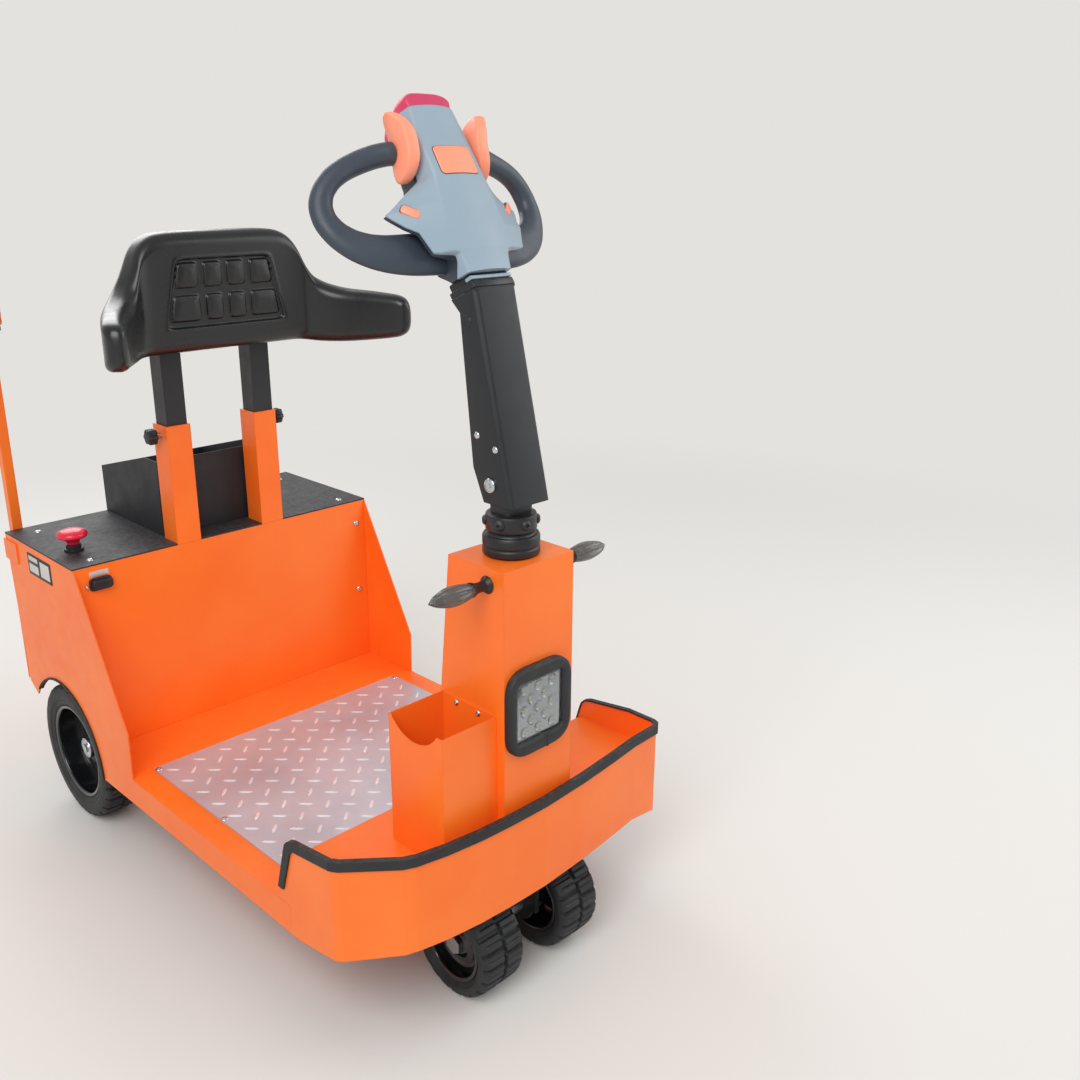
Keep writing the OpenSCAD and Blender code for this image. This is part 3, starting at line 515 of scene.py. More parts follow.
def tube(path: Array, wide: Array, deep: Array, up: Array, count: int = 28) -> Surface:
    """An oval section carried along a path.

    At each path point the section is w cos b times the side direction plus d sin b times the rise, where
    the side is the unit vector square on both the path and up, and the rise is square on path and side.

    Args:
        path: points along the middle.
        wide: half size w across, at each point.
        deep: half size d along the rise, at each point.
        up: direction that the rise follows.
        count: points round.

    Returns:
        The closed tube.
    """
    along = np.gradient(path, axis=0)
    along /= np.linalg.norm(along, axis=1, keepdims=True)
    side = np.cross(along, up)
    side /= np.linalg.norm(side, axis=1, keepdims=True)
    rise = np.cross(side, along)
    b = around(count)[:, None]
    wide, deep = wide[:, None, None], deep[:, None, None]
    return woven(path[:, None] + wide * np.cos(b) * side[:, None] + deep * np.sin(b) * rise[:, None])


def mesh_of(name: str, surface: Surface, outward: bool = True) -> bpy.types.Mesh:
    """Mesh of a surface in metres, with doubled points merged and, where asked, its normals turned outwards."""
    mesh = bpy.data.meshes.new(name)
    mesh.from_pydata((surface.points * MM).tolist(), [], surface.faces)
    work = bmesh.new()
    work.from_mesh(mesh)
    bmesh.ops.remove_doubles(work, verts=work.verts, dist=1e-6)
    if outward:
        bmesh.ops.recalc_face_normals(work, faces=work.faces)
    work.to_mesh(mesh)
    work.free()
    return mesh


def linked(name: str, data: bpy.types.ID) -> bpy.types.Object:
    """A new object of the scene, at the origin."""
    made = bpy.data.objects.new(name, data)
    bpy.context.scene.collection.objects.link(made)
    return made


def make_piece(name: str, surface: Surface, finish: Finish, body: str = "chassis", instead_of: Sequence[str] = (),
               sharp: float = 32.0, outward: bool = True) -> bpy.types.Object:
    """Makes a surface into a piece of the scene.

    Args:
        name: name of the piece.
        surface: its points and faces.
        finish: what it is made of.
        body: body that it rides on.
        instead_of: nodes that it takes the place of.
        sharp: angle in degrees above which an edge stays sharp.
        outward: turns the normals outwards.

    Returns:
        The object, at the origin with its place in its mesh.
    """
    mesh = mesh_of(name, surface, outward)
    mesh.shade_smooth()
    mesh.set_sharp_from_angle(angle=math.radians(sharp))
    mesh.materials.append(finish.material())
    piece = linked(name, mesh)
    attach(piece, body)
    if instead_of:
        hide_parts(*instead_of)
    log.info("%s: %d faces, %s, rides on %s", name, len(mesh.polygons), finish.name, body)
    return piece


def dress(finish: Finish, *names: str) -> None:
    """Puts a finish on nodes whose shape is right as it is."""
    for name in names:
        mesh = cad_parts[name].data
        mesh.materials.clear()
        mesh.materials.append(finish.material())
        log.info("%s: %s", name, finish.name)


# Main places, the same as in the part's source


@dataclass(frozen=True)
class Places:
    """Where the main parts stand."""

    half_width: float = 350
    front_panel: float = 278.25
    rear_panel: float = 608.25
    lid: float = 610
    column_front: float = -647.75
    steering: float = -584.75
    fork: float = -572.75
    rear_axle: float = 423.25
    pivot: float = 895


AT = Places()


@dataclass
class Platform:
    """The standing platform: lugs pressed in the tread plate, and its screws."""

    pitch: float = 41.0
    lattice_at: tuple[float, float] = (-18, -5)
    lug_long: float = 30.0
    lug_wide: float = 7.0
    lug_high: float = 1.7
    lug_sunk: float = 0.15
    plate_top: float = 217.0
    half_width: float = 302.0
    back: float = 128.25
    front: float = -425.75
    screw_x: float = 296.0
    screw_rows: tuple[float, ...] = (118, -131, -380)

    def lug_places(self) -> tuple[Array, Array]:
        """Middles and directions of the lugs: a square lattice at 45 degrees, lugs in turn along its two ways."""
        n = np.arange(-16, 17)
        i, j = (a.ravel() for a in np.meshgrid(n, n))
        u, v = self.lattice_at[0] + i * self.pitch, self.lattice_at[1] + j * self.pitch
        x, y = (u + v) / math.sqrt(2), (v - u) / math.sqrt(2)
        turn = np.where((i + j) % 2 == 1, -math.pi / 4, math.pi / 4)
        reach = 0.5 * (self.lug_long + self.lug_wide) * math.cos(math.pi / 4) + 1
        inside = (abs(x) < self.half_width - reach) & (y < self.back - reach) & (y > self.front + reach)
        return np.stack([x, y], 1)[inside], turn[inside]

    def lugs(self) -> Surface:
        """Every lug is a low ridge, pointed at both ends.

        Its height is h (1 - u^4)(1 - v^2)^0.5 and its half width w (1 - u^2)^0.5, over u along and
        v across from -1 to 1.
        """
        u, v = np.meshgrid(np.linspace(-1, 1, 7), np.linspace(-1, 1, 5), indexing="ij")
        taper = np.sqrt(np.clip(1 - u**2, 0, 1))
        flat = np.stack([u * self.lug_long / 2, v * taper * self.lug_wide / 2], -1)
        high = self.lug_high * np.clip(1 - u**4, 0, 1) * np.sqrt(1 - v**2 * 0.999) - self.lug_sunk
        middles, turns = self.lug_places()
        c, s = np.cos(turns)[:, None, None], np.sin(turns)[:, None, None]
        x = middles[:, 0, None, None] + flat[..., 0] * c - flat[..., 1] * s
        y = middles[:, 1, None, None] + flat[..., 0] * s + flat[..., 1] * c
        z = self.plate_top + np.broadcast_to(high, x.shape)
        points = np.stack([x, y, z], -1)
        return joined(woven(lug, close_cols=False, caps=False) for lug in points).flipped()

    def build(self) -> None:
        """Dresses the deck and the plate and adds lugs and screws."""
        dress(POWDER_ORANGE, "deck_pan")
        dress(TREAD_ALUMINIUM, "tread_plate")
        # The lugs' near-white colour is partly wear and partly a painted highlight
        make_piece("tread_lugs", self.lugs(), LUG_ALUMINIUM_RUBBED_AND_HIGHLIGHT, sharp=60, outward=False)
        heads = joined(screw(facing_up(self.screw_x, y, self.plate_top), 7, 2.2) for y in self.screw_rows)
        make_piece("plate_screws", heads.paired(), ZINC)


@dataclass
class Body:
    """Orange sheet of the box and the apron, black lid and bin, trims, screws and blank plates.

    plate_cells hold width, height and middle of the fields on the data plate.
    """

    lid_screws: Rows = ((-299, 310), (-299, 560), (299, 310), (299, 560))
    panel_screws: Rows = ((-324, 388), (324, 388), (324, 553))
    plate_at: tuple[float, float] = (440.5, 570)
    plate_cells: Rows = ((44, 10, -28, 13), (44, 18, -28, -8), (44, 33, 27, 0))
    label_at: Point = (-298, AT.front_panel, 590.5)
    flange_corner: tuple[float, float] = (AT.half_width - 3.2, AT.rear_panel - 3.1)
    flange_legs: tuple[float, float] = (28, 14)
    flange_sheet: float = 2
    flange_ends: tuple[float, float] = (272, 604)

    def screws(self) -> Surface:
        """Button heads on the lid's ends and beside the front panel's corners."""
        places = [facing_up(x, y, AT.lid) for x, y in self.lid_screws]
        places += [Placing((x, AT.front_panel, z)) for x, z in self.panel_screws]
        return joined(screw(place, 7.5, 3) for place in places)

    def rear_flanges(self) -> Surface:
        """Folded angles of the rear panel, which close the wedge behind the side panels' slanting rear edges."""
        (x, y), (long, short), sheet = self.flange_corner, self.flange_legs, self.flange_sheet
        corners = [(x, y - long), (x, y), (x - short, y), (x - short, y - sheet), (x - sheet, y - sheet),
                   (x - sheet, y - long)]
        plan = softened(corners, [0.8, 3.5, 0.8, 0.8, 1.5, 0.8], 4)
        return woven(raised(np.stack([plan, plan]), self.flange_ends)).paired()

    def build(self) -> None:
        """Dresses the sheet and adds screws, flanges and the small plates."""
        dress(POWDER_ORANGE, "side_panels", "front_panel", "post_sleeves", "rear_panel", "front_apron", "beacon_pole")
        dress(POWDER_BLACK, "battery_lid", "storage_bin")
        dress(EDGE_RUBBER, "apron_trim", "arch_trims")
        dress(BATTERY_CASE, "battery_block")
        make_piece("panel_screws", self.screws(), ZINC)
        make_piece("rear_corner_flanges", self.rear_flanges(), POWDER_ORANGE)
        wall = facing_side(AT.half_width, *self.plate_at, Side.RIGHT)
        make_piece("data_plate", pillow(rounded_box_outline(113, 46, 3), wall, 0, 0.9, 0.4), LABEL_BLACK)
        cells = (pillow(rounded_box_outline(w, h, 1, 3) + (x, y), wall, 0.9, 1.2, 0.2)
                 for w, h, x, y in self.plate_cells)
        make_piece("data_plate_fields", joined(cells), LABEL_SILVER)
        label = pillow(rounded_box_outline(39, 11, 1.5), Placing(self.label_at), 0, 0.6, 0.3)
        make_piece("blank_label", label, LABEL_SILVER)


@dataclass
class BoxFittings:
    """Emergency stop, charging socket, beacon and clamp knobs."""

    stop_at: Point = (-296, 389.25, AT.lid)
    socket_at: Point = (-297, AT.front_panel, 569)
    beacon_at: Point = (-321.5, 620.25, 1030)
    beacon_ribs: int = 36
    knob_at: Point = (136.5, 306.25, 835)
    knob_lobes: int = 6

    def stop(self) -> None:
        """Mushroom head over a black collar."""
        up = facing_up(*self.stop_at)
        collar = ((19, 0), (19, 3.5), (17.5, 5), (15, 5.5), (14.5, 14), (12, 15), (0, 15))
        head = ((0, 13), (12, 13), (13, 19), (15, 23), (21, 26), (27.5, 29), (29.6, 32), (29.8, 35), (28.6, 38),
                (25, 41), (19, 43.6), (12, 45.2), (6, 45.9), (0, 46))
        make_piece("stop_collar", turned(collar, up, 40), NYLON_BLACK, "chassis", ["emergency_stop"])
        make_piece("stop_head", turned(head, up, 48), SIGNAL_RED, "chassis", ["emergency_stop"], sharp=50)

    def socket(self) -> None:
        """Charging socket: flange, hinged flap with a crowned face, its hinge pin, and a screw beside it."""
        x, y, z = self.socket_at
        front = Placing(self.socket_at)
        flange = pillow(rounded_box_outline(46, 26, 8), front, 0, 4, 1.2)
        flap = pillow(rounded_box_outline(42, 21, 8, 7) + (1, 1), front, 4, 13.5, 4, 5, crown=1.5)
        pin = ((0, -15), (3, -14.5), (3.4, -13), (3.4, 13), (3, 14.5), (0, 15))
        hinge = turned(pin, facing_side(x, y - 6, z + 12.5), 12)
        make_piece("charge_socket_cover", joined([flange, flap, hinge]), NYLON_BLACK, "chassis", ["charge_socket"])
        make_piece("charge_socket_screw", screw(Placing((x - 26, y, z - 4)), 4.5, 2), ZINC)

    def beacon(self) -> None:
        """Ribbed lens: its ribs are a cosine on the radius, and two rings groove it."""
        foot = facing_up(*self.beacon_at)
        base = ((0, 0.2), (26, 0.2), (28, 2), (28, 8), (26.5, 12), (0, 12))
        h = np.array([12, 14, 17, 26, 27, 28, 37, 38, 39, 48, 50, 56, 64, 69, 72, 73.4, 74])
        r = np.array([29, 31.2, 31.2, 31.2, 30.2, 31.2, 31.2, 30.2, 31.2, 31.2, 31, 30.4, 28, 24, 18, 9, 0])
        count = 4 * self.beacon_ribs
        ribs = 0.6 * np.cos(self.beacon_ribs * around(count)) * (between(h, 13, 16) * (1 - between(h, 50, 58)))[:, None]
        lens = turned(np.stack([r, h], 1), foot, count, ribs)
        core = ((0, 13), (9, 13), (9, 50), (6, 56), (0, 58))
        make_piece("beacon_base", turned(base, foot, 40), NYLON_BLACK, "chassis", ["beacon"])
        make_piece("beacon_lens", lens, AMBER_LENS, "chassis", ["beacon"], sharp=50)
        make_piece("beacon_lamp", turned(core, foot, 20), LABEL_SILVER)

    def knobs(self) -> None:
        """Star grips: the radius is r + a cos 6b, where a falls off over the rounded edges."""
        start = facing_side(*self.knob_at)
        h = np.array([0, 1, 3, 15, 18, 19.6, 20, 20])
        r = np.array([11, 14.0, 15.2, 15.2, 14, 11.5, 7, 0])
        a = 1.9 * np.array([0.6, 0.9, 1, 1, 0.9, 0.6, 0.2, 0])
        count = 8 * self.knob_lobes
        grip = turned(np.stack([r, h], 1), start, count, a[:, None] * np.cos(self.knob_lobes * around(count)))
        stud = turned(((0, -10), (6, -10), (6, -4), (8.5, -3.5), (8.5, 0), (0, 0.5)), start, 20)
        make_piece("clamp_grips", grip.paired(), NYLON_BLACK, "chassis", ["clamp_knobs"])
        make_piece("clamp_studs", stud.paired(), ZINC, "chassis", ["clamp_knobs"])

    def build(self) -> None:
        """Builds the four kinds of fitting."""
        self.stop()
        self.socket()
        self.beacon()
        self.knobs()


@dataclass(frozen=True)
class Wheel:
    """A pneumatic-pattern tyre with two rows of blocks, on a dished rim, as it stands on the left side.

    at is its middle, across and along the machine. dish is how far out the disc stands; hub and bore are radii.
    """

    radius: float
    width: float
    rim_radius: float
    pitches: int
    at: tuple[float, float]
    dish: float
    hub: float
    bore: float = 12.6
    deep: float = 7.0
    pitch_steps: int = 12

    @property
    def place(self) -> Placing:
        """Its middle, facing the left side."""
        return facing_side(*self.at, self.radius)

    def section(self) -> tuple[Array, Array]:
        """Places across and radii of the tyre's section, from the inner bead over the tread to the outer bead."""
        w, r, rim = self.width / 2, self.radius, self.rim_radius
        half = np.array([
            (w - 9, rim - 1), (w - 8, rim + 3), (w - 5.5, rim + 5), (w - 4.2, rim + 7), (w - 3.4, rim + 7.4),
            (w - 1.6, rim + 0.30 * (r - rim)), (w - 2.2, rim + 0.33 * (r - rim)), (w - 0.4, rim + 0.38 * (r - rim)),
            (w, rim + 0.5 * (r - rim)), (w - 0.4, rim + 0.62 * (r - rim)), (w - 1.6, r - 9.5), (w - 2.2, r - 8),
            (w - 3.4, r - 5), (w - 6, r - 2.2), (w - 9.5, r - 0.9), (w - 16, r - 0.4), (w * 0.5, r - 0.2), (8, r),
            (4.2, r), (2.2, r),
        ])
        both = np.concatenate([half * (-1, 1), half[::-1]])
        return both[:, 0], both[:, 1]

    def tyre(self) -> Surface:
        """The section carried round, sunk where the grooves are.

        A point sinks by the depth times the greatest of the centre groove, the cross grooves of its row
        (a quarter of each pitch, the rows half a pitch apart) and a thin, shallower sipe in each block.
        """
        w, r = self.section()
        count = self.pitches * self.pitch_steps
        row_shift = np.where(w > 0, 0, self.pitch_steps // 2)[:, None]
        phase = (np.arange(count) + row_shift) % self.pitch_steps
        tread = between(r, self.radius - 9, self.radius - 6)[:, None] * between(abs(w), 3.5, 4.0)[:, None]
        cross = (phase < 3) * tread
        sipe = 0.4 * (phase == 7) * tread * (abs(w) < self.width * 0.36)[:, None]
        middle = (abs(w) < 3)[:, None]
        sunk = self.deep * np.maximum(np.maximum(cross, sipe), middle)
        return turned(np.stack([r, w], 1), self.place, count, -sunk, closed=True)

    def rim(self) -> Surface:
        """Rolled flanges, barrel, a disc with a pressed ring, and the hub, as one closed section carried round."""
        w, rim, dish, hub = self.width / 2 - 6, self.rim_radius, self.dish, self.hub
        corners = (
            (rim - 4, w), (rim + 3, w + 1.5), (rim + 4, w - 1.5), (rim - 0.5, w - 3), (rim - 0.5, -w + 3),
            (rim + 4, -w + 1.5), (rim + 3, -w - 1.5), (rim - 4, -w), (rim - 5, dish - 14), (rim * 0.8, dish - 9),
            (hub + 6, dish - 5), (hub, -w + 10), (self.bore, -w + 10), (self.bore, dish + 6), (hub - 3, dish + 6),
            (hub, dish + 3), (hub + 5, dish - 0.5), (rim * 0.62, dish + 0.5), (rim * 0.72, dish + 3.5),
            (rim * 0.82, dish + 2), (rim - 5, dish - 4), (rim - 5, w - 4),
        )
        return turned(softened(corners, 3.0, 3), self.place, 72, closed=True)


@dataclass
class RunningGear:
    """Four wheels and their hubs, and the finish of the axles, the fork, the drive and the frame."""

    front: Wheel = Wheel(radius=95, width=92, rim_radius=62, pitches=20, at=(93, AT.fork), dish=22, hub=24)
    rear: Wheel = Wheel(radius=150, width=85, rim_radius=100, pitches=28, at=(297.5, AT.rear_axle), dish=-6, hub=30)

    def rear_hub(self) -> Surface:
        """Bright sleeve over the axle's end with a chamfered lip and a domed end."""
        section = ((0, 0.6), (23.2, 0.6), (23.2, 15), (22.2, 17.5), (20, 18.2), (19, 17), (10, 17), (9.4, 21),
                   (7, 22.6), (0, 23))
        return turned(section, self.rear.place, 40)

    def build(self) -> None:
        """Builds the wheels and dresses what carries them."""
        dress(CHASSIS_ENAMEL, "frame_rails", "drive_axle", "drive_motor", "tow_hitch", "front_fork")
        dress(TURNED_STEEL, "front_axle", "steering_shaft")
        for side in Side:
            name = side.name.lower()
            body = f"rear_wheel_{name}"
            make_piece(f"rear_tread_{name}", self.rear.tyre().on(side), TYRE_RUBBER, body, [f"rear_tyre_{name}"])
            make_piece(f"rear_wheel_rim_{name}", self.rear.rim().on(side), RIM_ENAMEL, body, [f"rear_rim_{name}"])
            make_piece(f"rear_hub_sleeve_{name}", self.rear_hub().on(side), ZINC, body)
            body = "front_wheels"
            make_piece(f"front_tread_{name}", self.front.tyre().on(side), TYRE_RUBBER, body, ["front_tyres"])
            make_piece(f"front_wheel_rim_{name}", self.front.rim().on(side), RIM_ENAMEL, body, ["front_rims"])


@dataclass
class SteeringHead:
    """The column with its pocket, headlight and indicators, and the boss on top."""

    lamp: Placing = Placing((-6, AT.column_front, 534))
    bezel: tuple[float, float] = (141, 152)
    lens: tuple[float, float] = (103, 103)
    bezel_corner: float = 44
    lens_corner: float = 9
    plate_high: float = 5.2
    bowl_radius: float = 9.5
    bowl_deep: float = 4.2
    bowl_pitch: float = 31
    row_pitch: float = 18.5
    rows: tuple[int, ...] = (3, 2, 3, 2, 3)
    indicator_at: Point = (77, AT.column_front + 36, 750)
    indicator_flat: float = 0.84
    indicator_ridges: int = 12
    collar_z: float = 777.4
    cap_circle: float = 40.6
    cap_z: float = 832
    cheek_x: float = 43.3
    pocket_x: float = 79.1
    pocket_screws: Rows = ((-536, 523), (-589, 523))

    def bezel_surface(self) -> Surface:
        """A rounded section carried round a rounded square, and the short joint in it.

        The outline at share k goes from the bezel's rounded square at 0 to the lens's at 1; the section
        climbs the outer flank, rolls over the face and drops inside to the lens.
        """
        share = np.array([0, -0.01, 0.03, 0.18, 0.42, 0.68, 0.88, 0.97, 1, 1])[:, None]
        high = (0, 8, 11.6, 13.6, 14, 13.4, 11.4, 8, 4, 0)
        outer, inner = np.array([*self.bezel, self.bezel_corner]), np.array([*self.lens, self.lens_corner])
        rings = np.stack([rounded_box_outline(*size, 9) for size in outer + share * (inner - outer)])
        ring = woven(self.lamp.put(raised(rings, high)), close_rows=True)
        joint = rounded_box_outline(2.2, 22, 0.6, 2) + (14, 11.5 - self.bezel[1] / 2)
        return joined([ring, pillow(joint, self.lamp, 10, 14.3, 0.6)])

    def bowls(self) -> tuple[Surface, Surface]:
        """Reflector plate with round bowls, and the pale light source in each.

        The plate's depth at a point is d (1 - q^2)^0.6, where d is the bowls' depth and q the distance from the
        nearest bowl's middle as a share of the bowl's radius.
        """
        centres = np.array([((k - (n - 1) / 2) * self.bowl_pitch, (row - len(self.rows) // 2) * self.row_pitch)
                            for row, n in enumerate(self.rows) for k in range(n)])
        u, v = np.meshgrid(*(np.linspace(-size / 2 + 4, size / 2 - 4, 105) for size in self.lens), indexing="ij")
        gap = np.sqrt(((u[..., None] - centres[:, 0]) ** 2 + (v[..., None] - centres[:, 1]) ** 2).min(-1))
        deep = self.bowl_deep * np.clip(1 - (gap / self.bowl_radius) ** 2, 0, 1) ** 0.6
        plate = woven(self.lamp.put(np.stack([u, v, self.plate_high - deep], -1)), close_cols=False, caps=False)
        source = ((0, 3.2), (2.2, 3), (3.2, 2.1), (3.4, 0.8))
        lights = joined(turned(source, Placing(tuple(self.lamp.put(np.array([x, y, 0])))), 12) for x, y in centres)
        return plate.flipped(), lights

    def headlight(self) -> None:
        """Bezel, reflector plate, light sources, the clear cover, and the black frame under the cover's edge."""
        plate, lights = self.bowls()
        make_piece("lamp_bezel", self.bezel_surface(), EDGE_RUBBER, "chassis", ["headlight_bezel"], sharp=50)
        make_piece("lamp_reflectors", plate, REFLECTOR, "chassis", ["headlight"], sharp=40, outward=False)
        make_piece("lamp_sources", lights, LED_PHOSPHOR, sharp=60)
        cover = pillow(rounded_box_outline(*self.lens, self.lens_corner, 6), self.lamp, 5.6, 7, 0.6)
        make_piece("lamp_cover", cover, CLEAR_ACRYLIC)
        grow, high = (0.5, 0.5, -8, -10, -10), (0.3, 4.2, 5.4, 4.8, 0.3)
        rings = np.stack([rounded_box_outline(self.lens[0] + k, self.lens[1] + k, 6, 6) for k in grow])
        make_piece("lamp_frame", woven(self.lamp.put(raised(rings, high)), close_rows=True), NYLON_BLACK, sharp=40)

    def indicators(self) -> None:
        """Flared stalk and a pointed lens with ridges along it, on both sides.

        At share k of its length the lens's radius is 12 + 7 sin(min(1.7 k, 1) 90 degrees) - 19 k^3.4, and a
        cosine round it makes the ridges.
        """
        start = facing_side(*self.indicator_at)
        squat = Placing(start.origin, start.across, (0, 0, self.indicator_flat), start.out)
        stalk = ((0, 0), (14, 0), (14.5, 1.5), (13, 4), (9.2, 8), (8.2, 16), (8.8, 25), (11.5, 31), (12.2, 34.5),
                 (0, 34.5))
        core = ((0, 36), (7, 36), (10, 44), (9, 60), (4, 84), (0, 96))
        along = np.linspace(0, 1, 20)
        r = np.maximum(12 + 7 * np.sin(np.clip(along * 1.7, 0, 1) * math.pi / 2) - 19 * along**3.4, 0)
        count = 4 * self.indicator_ridges
        ridges = np.cos(self.indicator_ridges * around(count)) * between(r, 4, 9)[:, None]
        lens = turned(np.stack([r, 34 + 84 * along], 1), squat, count, ridges)
        make_piece("indicator_stalks", turned(stalk, start).paired(), NYLON_BLACK, "chassis", ["turn_signals"])
        make_piece("indicator_lenses", lens.paired(), SMOKE_ACRYLIC, "chassis", ["turn_signals"], sharp=60)
        make_piece("indicator_reflectors", turned(core, start, 16).paired(), REFLECTOR)

    def boss(self) -> None:
        """Turned collar, clevis block, radial cap screws, and the bright pivot discs and pin."""
        up = facing_up(0, AT.steering, self.collar_z)
        collar = ((0, 0), (40, 0), (44, 1), (46, 4), (46, 12), (44.5, 14), (44.5, 16), (46, 18), (46, 30), (44, 33.5),
                  (39, 34), (37.5, 36), (37.5, 38), (39.5, 40), (41, 43), (41, 63), (39.6, 66.4), (36, 67.5), (0, 67.5))
        block = pillow(rounded_box_outline(56, 44, 8, 5), up, 66, 119, 6, 4)
        caps = []
        for a in around(6) + math.radians(20):
            c, s = math.cos(a), math.sin(a)
            origin = (self.cap_circle * c, AT.steering + self.cap_circle * s, self.cap_z)
            caps.append(screw(Placing(origin, (-s, c, 0), (0, 0, 1), (c, s, 0)), 8.5, 5))
        make_piece("boss_collar", joined([turned(collar, up, 64), block]), CAST_BLACK, "steering", ["steering_boss"])
        make_piece("boss_cap_screws", joined(caps), CHASSIS_ENAMEL, "steering")
        disc = ((0, 0), (11.5, 0), (11.5, 2.8), (10.6, 4), (8.8, 4.4), (8.4, 3.4), (3.6, 3.2), (3.2, 4.6), (0, 4.6))
        discs = turned(disc, facing_side(self.cheek_x, AT.steering, AT.pivot)).paired()
        pin = turned(((0, -43), (8, -43), (8, 43), (0, 43)), facing_side(0, AT.steering, AT.pivot), 24)
        make_piece("pivot_discs", joined([discs, pin]), ZINC, "steering", ["steering_boss"])

    def build(self) -> None:
        """Dresses the column and builds its lamps and the boss."""
        dress(POWDER_ORANGE, "steering_column", "side_pocket")
        dress(CHASSIS_ENAMEL, "head_tube")
        heads = joined(screw(facing_side(self.pocket_x, y, z, Side.RIGHT), 5.5, 2.5) for y, z in self.pocket_screws)
        make_piece("pocket_screws", heads, ZINC)
        self.headlight()
        self.indicators()
        self.boss()


@dataclass
class Tiller:
    """The arm, and the head with its loops, wheels and buttons. The head is drawn in its own leaning plane.

    shell_rows hold the station along the head, half width and depth of the ridge, half width and depth of the
    wing's edge, and half width and back of the shell behind. loop_rows hold the loop's path across, back from
    the face and along the head, then its half height and half depth.
    """

    lean: float = 28
    head_at: Point = (0, -471.75, 1308)
    shell_rows: Rows = (
        (-120, 43, -16, 46, 7, 44, 29), (-98, 46, -18, 49, -9, 46, 54), (-90, 48.5, -19, 51, -11, 46, 54),
        (-86, 53, -19.5, 89, -10, 46, 54), (-52, 56, -20.5, 101, -7.6, 46, 54), (-48, 54, -20.7, 104, -4, 46, 54),
        (-38, 53, -21, 111, 5, 46, 54), (-24, 52, -22, 121, 13, 50, 54), (-12, 51, -22.5, 128, 20, 56, 54),
        (-2, 50, -22.5, 111, 18, 57, 54), (12, 49, -22, 91, 14, 57, 54), (29, 48, -21, 64, 8, 57, 54),
        (34, 47.5, -20.5, 57, 7, 57, 54), (63, 46.7, -18, 57, 6, 57, 54), (94, 45.8, -14, 57, 5, 57, 54),
        (111.5, 44.5, -12, 56.5, 6, 57, 54), (113.5, 44.3, -12, 52.5, 11, 50, 40), (139, 42, -10, 50, 12, 49, 40),
        (143, 41, -9, 48.5, 12, 47, 40),
    )
    crown: float = 6.5
    arm_half: float = 43
    arm_bevel: float = 6
    arm_thick: float = 3
    loop_rows: Rows = (
        (79.2, 18, 82, 17, 17), (94, 26, 84, 17, 17), (114, 34, 82, 17, 17), (138, 40, 76, 16.5, 16.5),
        (166, 45, 66, 16, 16), (188, 52, 51, 16, 16), (201, 58, 33, 17, 16), (206, 60, 10, 18.5, 15.5),
        (201, 58, -12, 20.5, 15), (187, 53, -33, 23, 14.5), (167, 46, -50, 26, 14), (142, 40, -61, 28.5, 13.5),
        (116, 34, -67, 31, 13), (88, 30, -70, 33, 13), (44, 29, -71, 33, 13),
    )
    wheel_at: tuple[float, float] = (-1, 82)
    wheel_half: tuple[float, float] = (25, 49)
    wheel_turn: float = 14
    wheel_thick: float = 22
    wheel_foot: float = 57.4
    hood_half: float = 56.7
    hood_foot: float = 113
    panel_at: tuple[float, float] = (0, 51)
    button_at: Point = (96.5, 2.6, -17)
    button_tilt: float = 28.9
    button_slant: float = 37.5
    arm_screws: Rows = ((-554.75, 968), (-594.75, 952))
    arm_hole: tuple[float, float] = (-536, 1137)

    @property
    def plane(self) -> Placing:
        """The head's plane: its middle, across, along the head, and out of its face."""
        c, s = math.cos(math.radians(self.lean)), math.sin(math.radians(self.lean))
        return Placing(self.head_at, (1, 0, 0), (0, s, c), (0, -c, s))

    def put(self, x: Array, y: Array, s: Array) -> Array:
        """Place of a point given across, back from the face and along the head."""
        return self.plane.put(np.stack(np.broadcast_arrays(x, s, -np.asarray(y, float)), -1))

    def face_depth(self, x: Array, s: Array) -> Array:
        """Depth of the bowed ridge: its edge's depth less crown (1 - (x/a)^2), with the half width a of the station."""
        a, y0 = eased(self.shell_rows, np.ravel(s), 3.5)[:, :2].T
        return (y0 - self.crown * (1 - (np.ravel(x) / a) ** 2)).reshape(np.shape(x))

    def skin(self) -> Surface:
        """Front skin, as sections along the head: a bowed ridge, and on each side a facet that falls back."""
        spans = ((-120, 143, 100), (-93, -83, 14), (-54, -46, 8), (110, 115, 8))
        stations = np.unique(np.concatenate([np.linspace(*span) for span in spans]))
        a, y0, b, y1, _, _ = eased(self.shell_rows, stations, 2.5).T
        draw = 1 - 0.03 * between(stations, 140.5, 143) ** 2
        edge = np.transpose([
            [a * draw, b * draw, b * draw - 0.2, b * draw - 6, a * 0.8],
            [y0, y1, y1 + 3.6, y1 + 5.5, np.maximum(y0 + 14, y1 - 12)],
        ])
        bow = np.array([-0.66, -0.33, 0, 0.33, 0.66])[:, None]
        front = np.transpose([a * bow * draw, y0 - self.crown * (1 - bow**2)])
        outline = np.concatenate([front, edge, edge[:, ::-1] * (-1, 1)], 1)
        rounded = softened(outline, [12] * 5 + [3.5, 1.8, 1.8, 3, 6, 6, 3, 1.8, 1.8, 3.5], 4)
        return woven(self.put(rounded[..., 0], rounded[..., 1], stations[:, None]))

